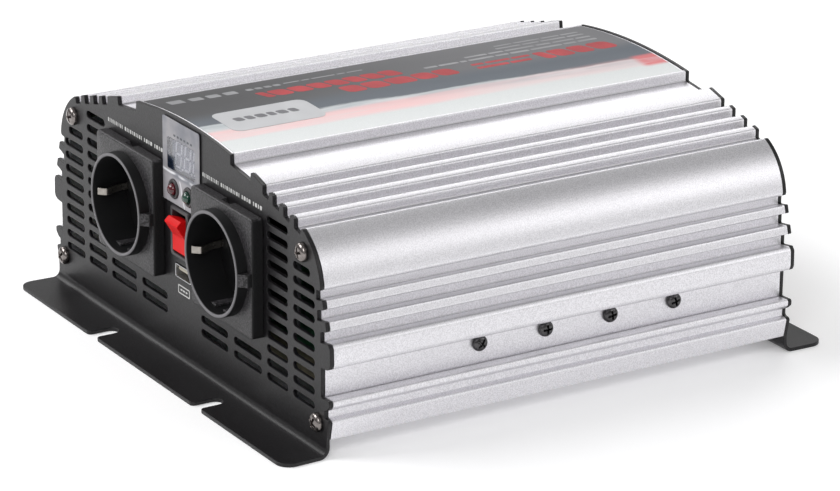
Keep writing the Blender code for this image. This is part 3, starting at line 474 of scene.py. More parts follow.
# %% Paint and plastics
def powder_coat():
    """Orange peel for the bumps and roughness, and fine paler specks in the colour."""
    made = Finish("panel_powder_coat", (0.008, 0.0075, 0.008), 0.36, Specular_IOR_Level=0.34)
    peel = made.noise(0.6, 2.0)
    speck = made.noise(0.5, 1.0)
    made.feed(Roughness=0.30 + peel * 0.14)
    coat, pale = (0.004, 0.0035, 0.004), (0.016, 0.015, 0.017)
    made.feed(**{"Base Color": made.mix(speck.ramp(0.35, 0.75), coat, pale)})
    return made.bump(peel * 0.7 + speck * 0.3, 0.07).material


def moulding(name, colour, roughness, grain=0.2, depth=0.02, lighter=1.35, **constants):
    """Plastic or ink: pebbles of grain millimetres, and a cloud that reaches lighter times the colour."""
    made = Finish(name, colour, roughness, **constants)
    pebble = made.noise(grain, 2.0)
    cloud = made.noise(grain * 40, 2.0)
    pale = tuple(min(1.0, part * lighter + 0.002) for part in colour)
    made.feed(Roughness=roughness + (pebble - 0.5) * 0.15)
    made.feed(**{"Base Color": made.mix(cloud.ramp(0.3, 0.8), colour, pale)})
    return made.bump(pebble, depth).material


POWDER_COAT = powder_coat()
SWITCH_BLACK = moulding("switch_plastic", (0.026, 0.023, 0.025), 0.36, 0.2, 0.01)
ROCKER_RED = moulding("rocker_red", (0.58, 0.004, 0.005), 0.42, 0.3, 0.004, 1.15, Specular_IOR_Level=0.12)
USB_PLASTIC = moulding("usb_insulator", (0.34, 0.31, 0.25), 0.4, 0.2, 0.01, 1.1)
FAN_BLACK = moulding("fan_plastic", (0.018, 0.018, 0.019), 0.42, 0.3, 0.02)
TERMINAL_BLACK = moulding("terminal_black", (0.020, 0.020, 0.022), 0.36, 0.3, 0.02)
TERMINAL_RED = moulding("terminal_red", (0.50, 0.014, 0.016), 0.36, 0.3, 0.02, 1.2)
PRINT_WHITE = moulding("panel_print", (0.50, 0.50, 0.49), 0.5, 0.1, 0.003, 1.1)
print("paint and plastics ready")

# %% [markdown]
# ## The extruded cover
#
# The cover is one extrusion: a flat crown that carries the label, a run of low fins, a big round
# shoulder and a ribbed side. We write its right half as an outline, mirror it, round every corner as
# a real die does, and carry it along Y. Modelling the fins as separate strips would leave seams that
# a real extrusion doesn't have.

# %% Cover outline
_, shell_high = span("upper_shell")
SHELL_HALF = shell_high[1]
TOP = shell_high[2]
WALL = 2.4
CROWN_RADIUS, CROWN_EDGE, CROWN_FOOT = 285.0, 39.8, 97.6
LABEL_EDGE, LABEL_BED = 38.3, 0.40
FIN_START, FIN_SLOPE, FIN_HEIGHT = (55.3, 95.7), 0.26, 3.6
FINS = ((55.5, 65.4), (69.9, 73.3), (77.9, 81.6), (86.1, 89.8))
SHOULDER_CENTRE, SHOULDER_RADIUS, SHOULDER_ANGLES = (84.6, 65.5), 25.4, (63.3, 7.2)
SIDE = [(109.3, 67.4), (106.7, 67.1), (106.7, 63.1), (111.2, 64.0), (112.1, 60.6), (107.4, 59.0)]
SIDE += [(107.4, 55.0), (113.4, 55.9), (114.4, 52.3), (109.8, 50.8), (109.8, 46.6), (115.6, 47.5)]
SIDE += [(116.9, 45.9), (117.1, 39.2), (116.3, 37.5), (114.4, 36.7), (110.3, 36.4)]
BAND_X, BAND_FOOT = 110.3, 24.0


def crown(x):
    """Height of the crown: a circle's arc about a line far below it."""
    return TOP - CROWN_RADIUS + np.sqrt(CROWN_RADIUS**2 - np.asarray(x) ** 2)


def fin_foot(x):
    """Height of the sloping line that the fins stand on."""
    return FIN_START[1] - FIN_SLOPE * (x - FIN_START[0])


def top_edge(bed=0.0):
    """Right half of the outline over the crown, fins and shoulder. bed sinks the label's place."""
    across = np.linspace(0, LABEL_EDGE, 24)
    points = list(zip(across, crown(across) - bed))
    points += [(LABEL_EDGE + 0.05, crown(LABEL_EDGE)), (CROWN_EDGE, crown(CROWN_EDGE))]
    points += [(CROWN_EDGE, CROWN_FOOT)]
    for left, right in FINS:
        points += [(left, fin_foot(left)), (left + 0.5, fin_foot(left) + FIN_HEIGHT)]
        points += [(right, fin_foot(right) + FIN_HEIGHT), (right, fin_foot(right))]
    points += [(94.4, fin_foot(94.4)), (94.9, 88.0)]
    return points + arc(SHOULDER_CENTRE, SHOULDER_RADIUS, *SHOULDER_ANGLES, 28).tolist()


def cover_outline():
    """The whole outline: the outside and inside of the right half, then the same mirrored."""
    outside = top_edge(LABEL_BED) + SIDE + [(BAND_X, 21.1)]
    inside = [(BAND_X - WALL, 21.1), (BAND_X - WALL, 49.0), (104.9, 53.5), (104.4, 70.0)]
    inside += arc(SHOULDER_CENTRE, SHOULDER_RADIUS - WALL, 12, SHOULDER_ANGLES[0], 12).tolist()
    inside += [(93.6, fin_foot(93.6) - WALL), (CROWN_EDGE + 2.0, 94.9), (37.2, 95.4)]
    inside += [(36.6, TOP - WALL - 2.4), (20.0, TOP - WALL - 0.8)]
    right = np.array(outside + inside)
    left = right[::-1] * (-1, 1)
    left = left[left[:, 0] < -1e-6]
    middle = [(0.0, TOP - WALL)]
    return np.concatenate([right, middle, left])


def store_crease_shade(made, outline):
    """Stores how sharply an outline bends inwards at each point, for painted shade: 0 up to 8 degrees, 1
    from 18 on.
    """
    before, after = outline - np.roll(outline, 1, 0), np.roll(outline, -1, 0) - outline
    turn = before[:, 0] * after[:, 1] - before[:, 1] * after[:, 0]
    turn = np.degrees(np.arctan2(turn, (before * after).sum(1)))
    inward = np.clip((-turn * np.sign(turn.sum()) - 8.0) / 10.0, 0, 1)
    points = np.empty(3 * len(made.data.vertices))
    made.data.vertices.foreach_get("co", points)
    points = points.reshape(-1, 3)[:, [0, 2]] / MM
    nearest = np.linalg.norm(points[:, None] - outline[None], axis=2).argmin(axis=1)
    made.data.attributes.new("painted_light_crease", "FLOAT", "POINT").data.foreach_set("value", inward[nearest])
    return int((inward > 0.5).sum())


cover_shape = softened(cover_outline(), 0.7)
cover = piece("cover", carried(cover_shape, -SHELL_HALF, SHELL_HALF), ALUMINIUM, replaces="upper_shell",
              slot="housing", smooth=30)
print("points in the cover's creases:", store_crease_shade(cover, cover_shape))
print("cover:", len(cover.data.polygons), "faces,", round(2 * SHELL_HALF, 1), "mm long")

# %% [markdown]
# ## The tray
#
# The tray is the second extrusion. Its feet curl out below the cover, and a groove holds the
# cover's lower edge. It is made the same way, from its own half outline.

# %% Tray
FOOT = [(115.9, 24.3), (116.6, 23.6), (116.5, 21.8), (114.6, 20.0), (112.8, 19.4), (112.8, 16.4)]
FOOT += [(115.2, 16.0), (116.0, 15.2), (114.4, 7.5)]
FIT = 0.3
TRAY_FLOOR = 10.0


def tray_outline():
    """The tray's outline, from its foot up round the groove and down to the floor, then mirrored."""
    right = FOOT[::-1] + [(BAND_X + FIT, BAND_FOOT), (BAND_X + FIT, 20.8)]
    right += [(BAND_X - WALL - FIT, 20.8), (BAND_X - WALL - FIT, 24.0), (105.2, 24.0), (105.2, 18.9)]
    right += [(106.9, 18.9), (106.9, 16.7), (103.0, 16.7), (103.0, TRAY_FLOOR)]
    right = np.array(right)
    return np.concatenate([right, right[::-1] * (-1, 1)])


tray = piece(
    "tray", carried(softened(tray_outline(), 0.5), -SHELL_HALF, SHELL_HALF), ALUMINIUM,
    replaces="lower_tray", slot="housing", smooth=30,
)
print("tray:", len(tray.data.polygons), "faces")

# %% [markdown]
# ## The two end sheets
#
# Each end is one sheet of 1.6 mm steel: punched flat, then bent outwards at the bottom into a flange
# with two screw slots. We do the same. The blank is drawn in (x, s), where s runs along the sheet, cut
# across at a few levels, and every point below the bend's start is carried round an arc. A bevel
# then breaks the punched edges, which is what catches the light on the real sheet.

# %% Sheet blanks
HALF_LENGTH = 110.25
SHEET = 1.6
FLANGE_REACH, FLANGE_HALF, FLANGE_CORNER = 19.5, 115.0, 6.0
BEND_RADIUS, BEND_STEPS = 3.0, 10
SLOT_X, SLOT_WIDTH, SLOT_DEPTH, SLOT_MOUTH = 45.0, 6.5, 12.0, 2.0
VENT_PITCH, VENT_HEIGHT, VENT_FIRST = 5.9, 3.2, 18.9
VENT_OUTER, VENT_OUTER_SHORT, VENT_INNER = (89.0, 105.4), (89.0, 101.8), (68.4, 84.8)
VENT_LOW = ((41.6, 63.9), (14.5, 36.6))
LEFT, RIGHT = -1, 1


def flange_edge(end):
    """Right half of the flange's free edge, with one open-ended slot."""
    r, m = SLOT_WIDTH / 2, SLOT_MOUTH
    corner = (FLANGE_HALF - FLANGE_CORNER, end + FLANGE_CORNER)
    parts = [arc(corner, FLANGE_CORNER, 0, -90, 10), arc((SLOT_X + r + m, end + m), m, 270, 180, 5)]
    parts += [arc((SLOT_X, end + SLOT_DEPTH - r), r, 0, 180, 14)]
    parts += [arc((SLOT_X - r - m, end + m), m, 0, -90, 5)]
    return np.concatenate(parts)


def vent_slots(beside_sockets):
    """Twelve rows of slots; the short ones go round the shoulder and the corner screws."""
    loops = []
    for row in range(12):
        z = VENT_FIRST + VENT_PITCH * row
        spans = [VENT_OUTER] if row < 9 else [VENT_OUTER_SHORT] if row == 9 else []
        if beside_sockets:
            spans = spans + [VENT_INNER] + (list(VENT_LOW) if row < 2 else [])
        for low, high in spans:
            loops += [slot(low, high, z, VENT_HEIGHT), slot(-high, -low, z, VENT_HEIGHT)]
    return loops


def end_sheet(holes, outwards):
    """The bent sheet. Past the bend's start a point turns by its distance over the neutral radius."""
    bend_top = BEND_RADIUS + SHEET
    bend_length = (BEND_RADIUS + SHEET / 2) * np.pi / 2
    end = bend_top - bend_length - (FLANGE_REACH - BEND_RADIUS)
    half = np.concatenate([top_edge(), SIDE, [(BAND_X, BAND_FOOT)], FOOT, flange_edge(end)])
    outline = softened(mirrored(half), 0.5, keep_below=20.0)
    bm = tidy(sheet([outline] + holes, 0, SHEET))
    bmesh.ops.dissolve_limit(bm, angle_limit=math.radians(0.5), verts=bm.verts, edges=bm.edges)
    for step in range(BEND_STEPS + 1):
        level = bend_top - bend_length * step / BEND_STEPS
        everything = list(bm.verts) + list(bm.edges) + list(bm.faces)
        bmesh.ops.bisect_plane(bm, geom=everything, plane_co=(0, 0, level), plane_no=(0, 0, 1))
    bm.verts.index_update()
    x, depth, s = np.array([vert.co for vert in bm.verts]).T
    below = np.maximum(bend_top - s, 0.0)
    angle = np.minimum(below / bend_length, 1.0) * np.pi / 2
    past = np.maximum(below - bend_length, 0.0)
    radius = BEND_RADIUS + depth
    y = HALF_LENGTH + BEND_RADIUS - radius * np.cos(angle) + past
    z = np.where(below > 0, bend_top - radius * np.sin(angle), s)
    faces = [[vert.index for vert in face.verts] for face in bm.faces]
    bm.free()
    return np.stack([x, outwards * y, z], axis=1), faces


lamp_x, lamp_z = mid("led_green")[[0, 2]]
switch_z, usb_z = mid("switch_housing")[2], mid("usb_shell")[2]
screw_places = [mid(f"panel_screw_front_{level}_right")[[0, 2]] for level in ("top", "bottom")]
WINDOW_HALF, WINDOW_LOW, WINDOW_HIGH = 12.0, 81.4, 95.4
window_mid, window_tall = (WINDOW_LOW + WINDOW_HIGH) / 2, (WINDOW_HIGH - WINDOW_LOW) / 2
screw_holes = [circle((side * x, z), 2.2, 20) for x, z in screw_places for side in (LEFT, RIGHT)]

holes = vent_slots(True) + screw_holes
holes += [circle((side * socket_x, socket_z), 22.1, 64) for side in (LEFT, RIGHT)]
holes += [circle((side * lamp_x, lamp_z), 2.8, 24) for side in (LEFT, RIGHT)]
holes += [rounded(WINDOW_HALF, window_tall, 1.0, (0, window_mid), 4)]
holes += [rounded(6.9, 10.1, 1.0, (0, switch_z), 4), rounded(6.85, 3.15, 0.8, (0, usb_z), 4)]
front_sheet = piece(
    "front_sheet", end_sheet(holes, -1), POWDER_COAT, replaces="front_panel", slot="panel",
    smooth=32, edge=0.22,
)

fan_z, fan_hole = mid("fan_frame")[2], 25.0
terminal_x, terminal_z = mid("terminal_stud_positive")[[0, 2]]
earth_x, earth_z = mid("earth_screw")[[0, 2]]
fan_corners = [(sx * fan_hole, fan_z + sz * fan_hole) for sx in (LEFT, RIGHT) for sz in (LEFT, RIGHT)]
holes = vent_slots(False) + screw_holes
holes += [circle((0, fan_z), 27.6, 72), circle((earth_x, earth_z), 2.8, 20)]
holes += [circle((side * terminal_x, terminal_z), 7.3, 32) for side in (LEFT, RIGHT)]
holes += [circle(corner, 2.1, 16) for corner in fan_corners]
rear_sheet = piece(
    "rear_sheet", end_sheet(holes, 1), POWDER_COAT, replaces="rear_panel", slot="panel",
    smooth=32, edge=0.22,
)
print("sheets:", len(front_sheet.data.polygons), "and", len(rear_sheet.data.polygons), "faces")

# %% [markdown]
# ## Screws
#
# A pan head with a cross recess is a height map on a disc: a dome that falls to the rim, less a cross
# with sloping walls. The map gives every point its height from its place, so one function serves the
# sixteen screws of the housing, the earth screw and the fan's four, each turned to face its own way.


# %% Screw heads
def cross_head(radius, height, shank_radius, shank_length, rings=30, steps=72, twist=20.0):
    """Heights over a disc. The dome is height times the root of 1 minus the radius squared.

    The recess is how far a point lies inside either arm of a cross, times a steep slope, up to a
    floor. Rows go from the middle of the head out to the rim, under it, and down the shank.
    """
    share = np.linspace(0, 1, rings)[:, None]
    turn = np.linspace(0, 2 * np.pi, steps, endpoint=False)[None]
    dome = height * (0.22 + 0.78 * np.sqrt(np.clip(1 - share**2.6, 0, 1)))
    u = share * np.cos(turn + math.radians(twist))
    v = share * np.sin(turn + math.radians(twist))
    depth = np.zeros_like(u)
    for along, across in ((u, v), (v, u)):
        inside = np.minimum(0.13 - np.abs(across) * 1.0, (0.60 - np.abs(along)) * 0.5)
        depth = np.maximum(depth, np.clip(inside / 0.045, 0, 1))
    top = dome - 0.62 * height * depth
    rows_r = np.concatenate([share[:, 0], [1.0, shank_radius / radius, shank_radius / radius, 0]]) * radius
    low = np.array([0.0, 0.0, -shank_length, -shank_length])[:, None] * np.ones_like(turn)
    rows_h = np.concatenate([top, low])
    return rows_r[:, None] * np.cos(turn), rows_r[:, None] * np.sin(turn), rows_h


def screw(name, node, metal, axis, out, radius, height, shank_radius, twist, **rest):
    """A screw in a CAD screw's place: its head starts where the CAD head does."""
    low, high = span(node)
    along = "XYZ".index(axis)
    seat = (high[along] - height) if out > 0 else (low[along] + height)
    length = (high - low)[along] - height
    u, v, h = cross_head(radius, height, shank_radius, length, twist=twist)
    across = [i for i in range(3) if i != along]
    centre = ((low + high) / 2)[across]
    points = placed(centre[0] + u, centre[1] + v, seat + out * h, axis)
    head = (points, quads(*h.shape, round_columns=True))
    return piece(name, head, metal, replaces=node, smooth=40, **rest)


rng = np.random.default_rng(5)
for face, out in (("front", -1), ("rear", 1)):
    for level in ("top", "bottom"):
        for hand in ("left", "right"):
            node = f"panel_screw_{face}_{level}_{hand}"
            turn = rng.uniform(0, 90)
            screw(f"cross_{node}", node, NICKEL, "Y", out, 3.9, 2.5, 1.9, turn, slot="bright_screw")
for hand, out in (("left", -1), ("right", 1)):
    for i in range(1, 5):
        node = f"side_screw_{hand}_{i}"
        turn = rng.uniform(0, 90)
        screw(f"cross_{node}", node, BLACK_NICKEL, "X", out, 3.3, 2.2, 1.5, turn, slot="dark_screw")
screw("cross_earth_screw", "earth_screw", BRASS, "Y", 1, 5.2, 3.4, 2.4, 30.0, slot="brass")
print("screws:", sum(name.startswith("cross_") for name in made_pieces))

# %% [markdown]
# ## The sockets
#
# Each socket is a square plate with a round well through it. The plate is a surface between two
# closed curves, the rounded square and the well's circle: we walk both by angle and roll the front
# edge over. A sloping rib on each side joins it to the well, whose wall is one turned ring with a
# rolled lip. The floor has the two pin holes, brass contacts sit in them, and the plated earth strip
# comes up both sides through its slots.

# %% Socket sizes and finishes
PLATE_HALF, PLATE_PROUD, RING_OUT, RING_IN, RING_PROUD = 25.0, 5.2, 21.7, 20.1, 10.1
FLOOR_IN, SOCKET_BACK, PIN_SPACING, PIN_HOLE = 5.5, 16.0, 9.5, 2.8
RIB_HALF, GUIDE_X, GUIDE_Z, GUIDE_PROUD = 2.6, (3.0, 8.0), (18.7, 19.9), 6.1
STRAP_HALF, STRAP_THICK = 1.5, 0.8
FACE_Y = -HALF_LENGTH
LIP_Y = FACE_Y - RING_PROUD


def socket_plate():
    """Black plastic with the coarse pebble of a sparked tool: paler pebble tops on the face as painted
    highlights, and near black side walls as painted shade.
    """
    made = Finish("socket_plate_plastic", (0.010, 0.0095, 0.011), 0.34, Specular_IOR_Level=0.36)
    pebble = made.noise(0.75, 2.0)
    # Painted shade: the side walls, past the face's edge, are painted near black.
    side = (abs(abs(made.axes()[0]) - socket_x) - (PLATE_HALF - 0.7)).ramp(0.0, 0.5)
    # Grain whose pebble tops are painted paler, as their highlights.
    face = made.mix(pebble.ramp(0.40, 0.66), (0.008, 0.0075, 0.008), (0.058, 0.055, 0.060))
    made.feed(**{"Base Color": made.mix(side, face, (0.002, 0.002, 0.0025))})
    made.feed(Roughness=0.32 + pebble * 0.12 + side * 0.3)
    return made.bump(pebble, 0.20).material


def socket_well():
    """The same plastic, smooth: deep black, but for a pale line painted along the ring's lip as its
    highlight.
    """
    made = Finish("socket_well_plastic", (0.004, 0.004, 0.0045), 0.5, Specular_IOR_Level=0.3)
    # Painted highlight: a thin pale band over the lip's frontmost half millimetre.
    lip = (LIP_Y + 0.5 - made.axes()[1]).ramp(0.0, 0.35)
    made.feed(**{"Base Color": made.mix(lip, (0.003, 0.003, 0.0035), (0.15, 0.146, 0.154))})
    made.feed(Roughness=0.46 + made.noise(0.4, 2.0) * 0.1)
    return made.bump(made.noise(0.4, 2.0), 0.01).material


SOCKET_BLACK = socket_plate()
SOCKET_WELL = socket_well()
SOCKET_DARK = moulding(
    "socket_inner_plastic", (0.003, 0.003, 0.0035), 0.5, 0.3, 0.02, Specular_IOR_Level=0.25
)
print("socket lip at", round(LIP_Y, 2), "mm")


# %% Socket parts
def divided(outline, longest):
    """An outline with points added evenly along each edge, so that none is longer than a length."""
    ahead = np.roll(outline, -1, 0) - outline
    parts = np.maximum(np.ceil(np.linalg.norm(ahead, axis=1) / longest), 1).astype(int)
    which = np.repeat(np.arange(len(outline)), parts)
    within = np.arange(len(which)) - np.repeat(np.cumsum(parts) - parts, parts)
    return outline[which] + ahead[which] * (within / parts[which])[:, None]


def plate_surface(x):
    """Rows around the plate's section: back to front outside, over the edge, in, and back.

    The outer curve is the rounded square where a ray at each angle meets it, and the inner curve is
    a circle at the same angles. The back half has a shallow notch at the middle of the top and bottom.
    """
    square = divided(rounded(PLATE_HALF, PLATE_HALF, 1.8, steps=6), 0.9)
    direction = square / np.linalg.norm(square, axis=1)[:, None]
    reach = np.abs(square).max(axis=1)[:, None]
    turn = np.linspace(0, np.pi / 2, 5)
    edge = 0.8
    rows, levels = [], []
    notch = (np.abs(square[:, 0]) < 2.7) & (np.abs(square[:, 1]) > PLATE_HALF - 0.1)
    for level, in_notch in ((-FIT, True), (-3.2, True), (-3.25, False)):
        dip = np.where(notch & in_notch, 1.8, 0.0)[:, None]
        rows.append(square * (1 - dip / reach))
        levels.append(level)
    for a in turn:
        rows.append(square * (1 - edge * (1 - np.cos(a)) / reach))
        levels.append(-PLATE_PROUD + edge * (1 - np.sin(a)))
    for radius, level in ((RING_OUT - 0.3, -PLATE_PROUD), (RING_OUT - 0.3, -FIT)):
        rows.append(direction * radius)
        levels.append(level)
    outline = np.stack(rows)
    level = FACE_Y + np.array(levels)[:, None]
    points = placed(x + outline[:, :, 0], socket_z + outline[:, :, 1], level, "Y")
    return points, quads(*outline.shape[:2], True, True)


def ring_profile():
    """The well's wall as a closed section: outside, over the rolled lip, down inside, and back."""
    lip = (RING_OUT - RING_IN) / 2
    turn = np.linspace(0, np.pi, 13)
    top = np.stack([RING_OUT - lip + lip * np.cos(turn), 0.7 - RING_PROUD - 0.7 * np.sin(turn)], axis=1)
    back = [(19.75, FLOOR_IN), (19.75, SOCKET_BACK), (21.8, SOCKET_BACK), (21.8, -3.0), (RING_OUT, -3.0)]
    return np.concatenate([top, back]) + (0, FACE_Y)


def side_rib(x, side):
    """The sloping rib from the ring's lip out to the plate's edge: a wedge with its edges broken."""
    foot, level = FACE_Y - PLATE_PROUD, FACE_Y - RING_PROUD
    inner, outer = RING_OUT - 0.5, PLATE_HALF - 0.25
    section = [(inner, level + 0.5), (RING_OUT + 0.1, level + 0.5), (outer, foot - 1.6)]
    section += [(outer, foot + 0.5), (inner, foot + 0.5)]
    outline = np.array([(x + side * u, v) for u, v in section])
    return carried(softened(outline, 0.35), socket_z - RIB_HALF, socket_z + RIB_HALF, "Z")


def make_socket(hand, x):
    """One socket at x: its plate with ribs and guides, its well, its floor and its pin contacts."""
    node = f"socket_{hand}"
    parts = [plate_surface(x)] + [side_rib(x, side) for side in (LEFT, RIGHT)]
    for side in (LEFT, RIGHT):
        for across in (LEFT, RIGHT):
            half = ((GUIDE_X[1] - GUIDE_X[0]) / 2, (GUIDE_Z[1] - GUIDE_Z[0]) / 2)
            middle = (x + across * sum(GUIDE_X) / 2, socket_z + side * sum(GUIDE_Z) / 2)
            parts.append(soft_block(half, middle, FACE_Y + FLOOR_IN + 1, FACE_Y - GUIDE_PROUD, 0.3, 0.3))
    piece(f"{node}_plate", together(*parts), SOCKET_BLACK, replaces=node, slot="socket", smooth=32)
    ring = turned(ring_profile(), (x, socket_z), steps=96, closed=True)
    piece(f"{node}_well", ring, SOCKET_WELL, slot="socket", smooth=32)
    loops = [circle((x, socket_z), 19.7, 96)]
    for side in (LEFT, RIGHT):
        loops.append(circle((x, socket_z + side * PIN_SPACING), PIN_HOLE, 32))
        loops.append(rounded(0.65, STRAP_HALF + 0.4, 0.3, (x + side * 18.85, socket_z), 3))
    floor = sheet(loops, FACE_Y + FLOOR_IN, FACE_Y + FLOOR_IN + 8.0)
    inner, outer = FACE_Y + 13.6, FACE_Y + SOCKET_BACK
    back = turned([(0, inner), (18.0, inner), (18.0, outer), (0, outer)], (x, socket_z), steps=48)
    piece(f"{node}_floor", together(floor, back), SOCKET_DARK, slot="socket", smooth=32, edge=0.25)
    contact = [(1.95, 7.6), (2.15, 7.4), (2.6, 7.6), (2.6, 13.3), (1.95, 13.3)]
    contact = np.array(contact) + (0, FACE_Y)
    tubes = [
        turned(contact, (x, socket_z + side * PIN_SPACING), steps=32, closed=True) for side in (LEFT, RIGHT)
    ]
    piece(f"pin_contacts_{hand}", together(*tubes), BRASS, slot="brass")


def strap_line(steps=6):
    """The earth strip's middle line from the socket's back to its tip, as (across, depth)."""
    knots = [(0, 16.9), (18.9, 16.9), (18.9, 1.4), (15.9, -5.2), (18.8, -8.1)]
    knots = np.array(knots, float)
    before, after = knots[:-2] - knots[1:-1], knots[2:] - knots[1:-1]
    reach = np.array([1.2, 2.2, 1.1])[:, None]
    first = knots[1:-1] + before / np.linalg.norm(before, axis=1)[:, None] * reach
    last = knots[1:-1] + after / np.linalg.norm(after, axis=1)[:, None] * reach
    t = np.linspace(0, 1, steps + 1)[None, :, None]
    bends = (1 - t) ** 2 * first[:, None] + 2 * t * (1 - t) * knots[1:-1, None] + t**2 * last[:, None]
    return np.concatenate([knots[:1], bends.reshape(-1, 2), knots[-1:]])


def make_strap(hand, x):
    """The earth strip: its middle line moved half a thickness to each side, as an outline."""
    line = strap_line()
    along = np.gradient(line, axis=0)
    normal = np.stack([-along[:, 1], along[:, 0]], axis=1) / np.linalg.norm(along, axis=1)[:, None]
    left, right = line + normal * (STRAP_THICK / 2), line - normal * (STRAP_THICK / 2)
    left[0, 0] = right[0, 0] = 0.0
    flip = np.array((-1, 1))
    loop = np.concatenate([left, right[::-1], right[1:] * flip, left[:0:-1] * flip]) + (x, FACE_Y)
    name = f"earth_strap_{hand}"
    shape = carried(loop, socket_z - STRAP_HALF, socket_z + STRAP_HALF, "Z")
    piece(f"{name}_strip", shape, CONTACT_SILVER, replaces=name, slot="brass", smooth=40, edge=0.15)


for hand, side in (("left", LEFT), ("right", RIGHT)):
    make_socket(hand, side * socket_x)
    make_strap(hand, side * socket_x)
print("sockets:", [name for name in made_pieces if name.startswith("socket")])

# %% [markdown]
# ## The overlay, the display and the lamps
#
# A printed film covers the display's opening. Its window is a grey, half clear pane, and the digits
# lie a few millimetres behind it, so they shift as you walk past. We keep that: the film is a sheet
# with a window, a thin pane fills it, and the digits are strips on the display's own face. Tones
# painted on the film, the pane and the display stand in for the room that a glossy film would
# mirror. The lamps are domes of tinted plastic, each in a black collar.


# %% Display finishes
def film():
    """Grey film with a soft sheen, a painted highlight along a line just under the window, and painted
    reflections below it.
    """
    made = Finish("overlay_film", (0.24, 0.235, 0.25), 0.38, 0.0, Specular_IOR_Level=0.35)
    x, _, z = made.axes()
    cloud, flake = made.noise(9.0, 2.0), made.noise(0.5, 1.0)
    painted_highlight_z, painted_reflection_z = WINDOW_LOW - 1.0, 73.0
    # Painted highlight: a pale, wavering line just under the window.
    painted_light_crease = 1.0 - abs(z - painted_highlight_z + x * 0.03 + (cloud - 0.5) * 1.2).ramp(0.25, 0.7)
    painted_light_crease = painted_light_crease * cloud.ramp(0.25, 0.5)
    tone = made.mix(cloud.ramp(0.3, 0.75), (0.15, 0.155, 0.18), (0.27, 0.262, 0.275))
    # Painted reflections: a pale slanting streak below 79 mm, and a paler tone below 80 mm.
    streak = 1.0 - abs(x - 1.0 + (z - painted_reflection_z) * 0.45 + (cloud - 0.5) * 4.0).ramp(0.25, 0.8)
    streak = streak * (79.0 - z).ramp(0.0, 1.0)
    tone = made.mix((80.0 - z).ramp(0.0, 2.0) * 0.8, tone, (0.34, 0.325, 0.345))
    made.feed(**{"Base Color": made.mix(painted_light_crease + streak * 0.8, tone, (0.66, 0.66, 0.68))})
    made.feed(Roughness=0.28 + flake * 0.12)
    return made.bump(made.noise(6.0, 1.0) * 0.8 + flake * 0.05, 0.12).material


def window_film():
    """The window in the film: half clear, so the digits show faintly through its grey."""
    made = Finish("window_lens", (0.5, 0.5, 0.53), 0.10, Transmission_Weight=0.88, IOR=1.25)
    x, _, z = made.axes()
    cloud = made.noise(4.0, 2.0)
    dark = (-6.0 - x).ramp(-1.0, 1.0).both((87.5 - z).ramp(-0.6, 0.6)) * cloud.ramp(0.15, 0.45)
    made.feed(**{"Base Color": made.mix(dark, (0.80, 0.80, 0.84), (0.05, 0.08, 0.15))})
    made.feed(Roughness=0.06 + cloud * 0.06)
    return made.bump(made.noise(8.0, 1.0), 0.03).material


def display_face():
    """The display's dark face behind the pane, bluer and darker in its lower left corner."""
    made = Finish("display_face", (0.10, 0.14, 0.22), 0.35)
    x, _, z = made.axes()
    cloud = made.noise(7.0, 2.0)
    low_corner = (-7.0 - x).ramp(-2.0, 5.0).both((84.0 - z).ramp(-1.0, 3.0))
    ground = made.mix(cloud.ramp(0.25, 0.8), (0.16, 0.18, 0.22), (0.24, 0.26, 0.30))
    made.feed(**{"Base Color": made.mix(low_corner, ground, (0.03, 0.05, 0.12))})
    return made.bump(cloud, 0.05).material


def lamp(name, colour, deep):
    """Tinted clear plastic between a colour and a deeper one."""
    made = Finish(name, colour, 0.12, Coat_Weight=0.6, Transmission_Weight=0.25, IOR=1.49)
    cloud = made.noise(1.2, 2.0)
    made.feed(**{"Base Color": made.mix(cloud.ramp(0.3, 0.8), deep, colour)})
    made.feed(Roughness=0.10 + cloud * 0.08)
    return made.bump(cloud, 0.02).material


FILM, LENS, DISPLAY_FACE = film(), window_film(), display_face()
FILM_INK = moulding("film_ink", (0.030, 0.035, 0.045), 0.4, 0.2, 0.002)
SEGMENT = moulding("display_segments", (0.85, 0.86, 0.90), 0.4, 0.2, 0.004, 1.1)
LAMP_RED = lamp("led_red", (0.16, 0.004, 0.012), (0.05, 0.002, 0.006))
LAMP_GREEN = lamp("led_green", (0.010, 0.085, 0.050), (0.003, 0.03, 0.02))
print("display finishes ready")

# %% Overlay, lens and lamps
film_low, film_high = span("display_overlay")
film_mid = (film_low + film_high) / 2
loops = [rounded(film_high[0], film_high[2] - film_mid[2], 1.0, (0, film_mid[2]), 5)]
loops += [circle((side * lamp_x, lamp_z), 4.2, 40) for side in (LEFT, RIGHT)]
loops += [rounded(WINDOW_HALF - 0.3, window_tall - 0.3, 0.8, (0, window_mid), 4)]
piece("overlay_film", sheet(loops, film_low[1], film_high[1]), FILM, replaces="display_overlay",
      slot="overlay", smooth=30, edge=0.13)
lens_half = (WINDOW_HALF - 0.32, window_tall - 0.32)
lens = soft_block(lens_half, (0, window_mid), FACE_Y + 0.4, film_low[1] + 0.1, 0.7, 0.2)
piece("window_lens", lens, LENS, slot="overlay", smooth=30)
marks = [rounded(0.8, 0.45, 0.2, (x, WINDOW_HIGH + 1.5), 3) for x in (-5.2, -2.4, 0.4, 3.2, 6.0, 8.8)]
marks = [carried(mark, film_low[1] - 0.03, film_low[1] + 0.02) for mark in marks]
piece("film_marks", together(*marks), FILM_INK, slot="overlay", smooth=40)

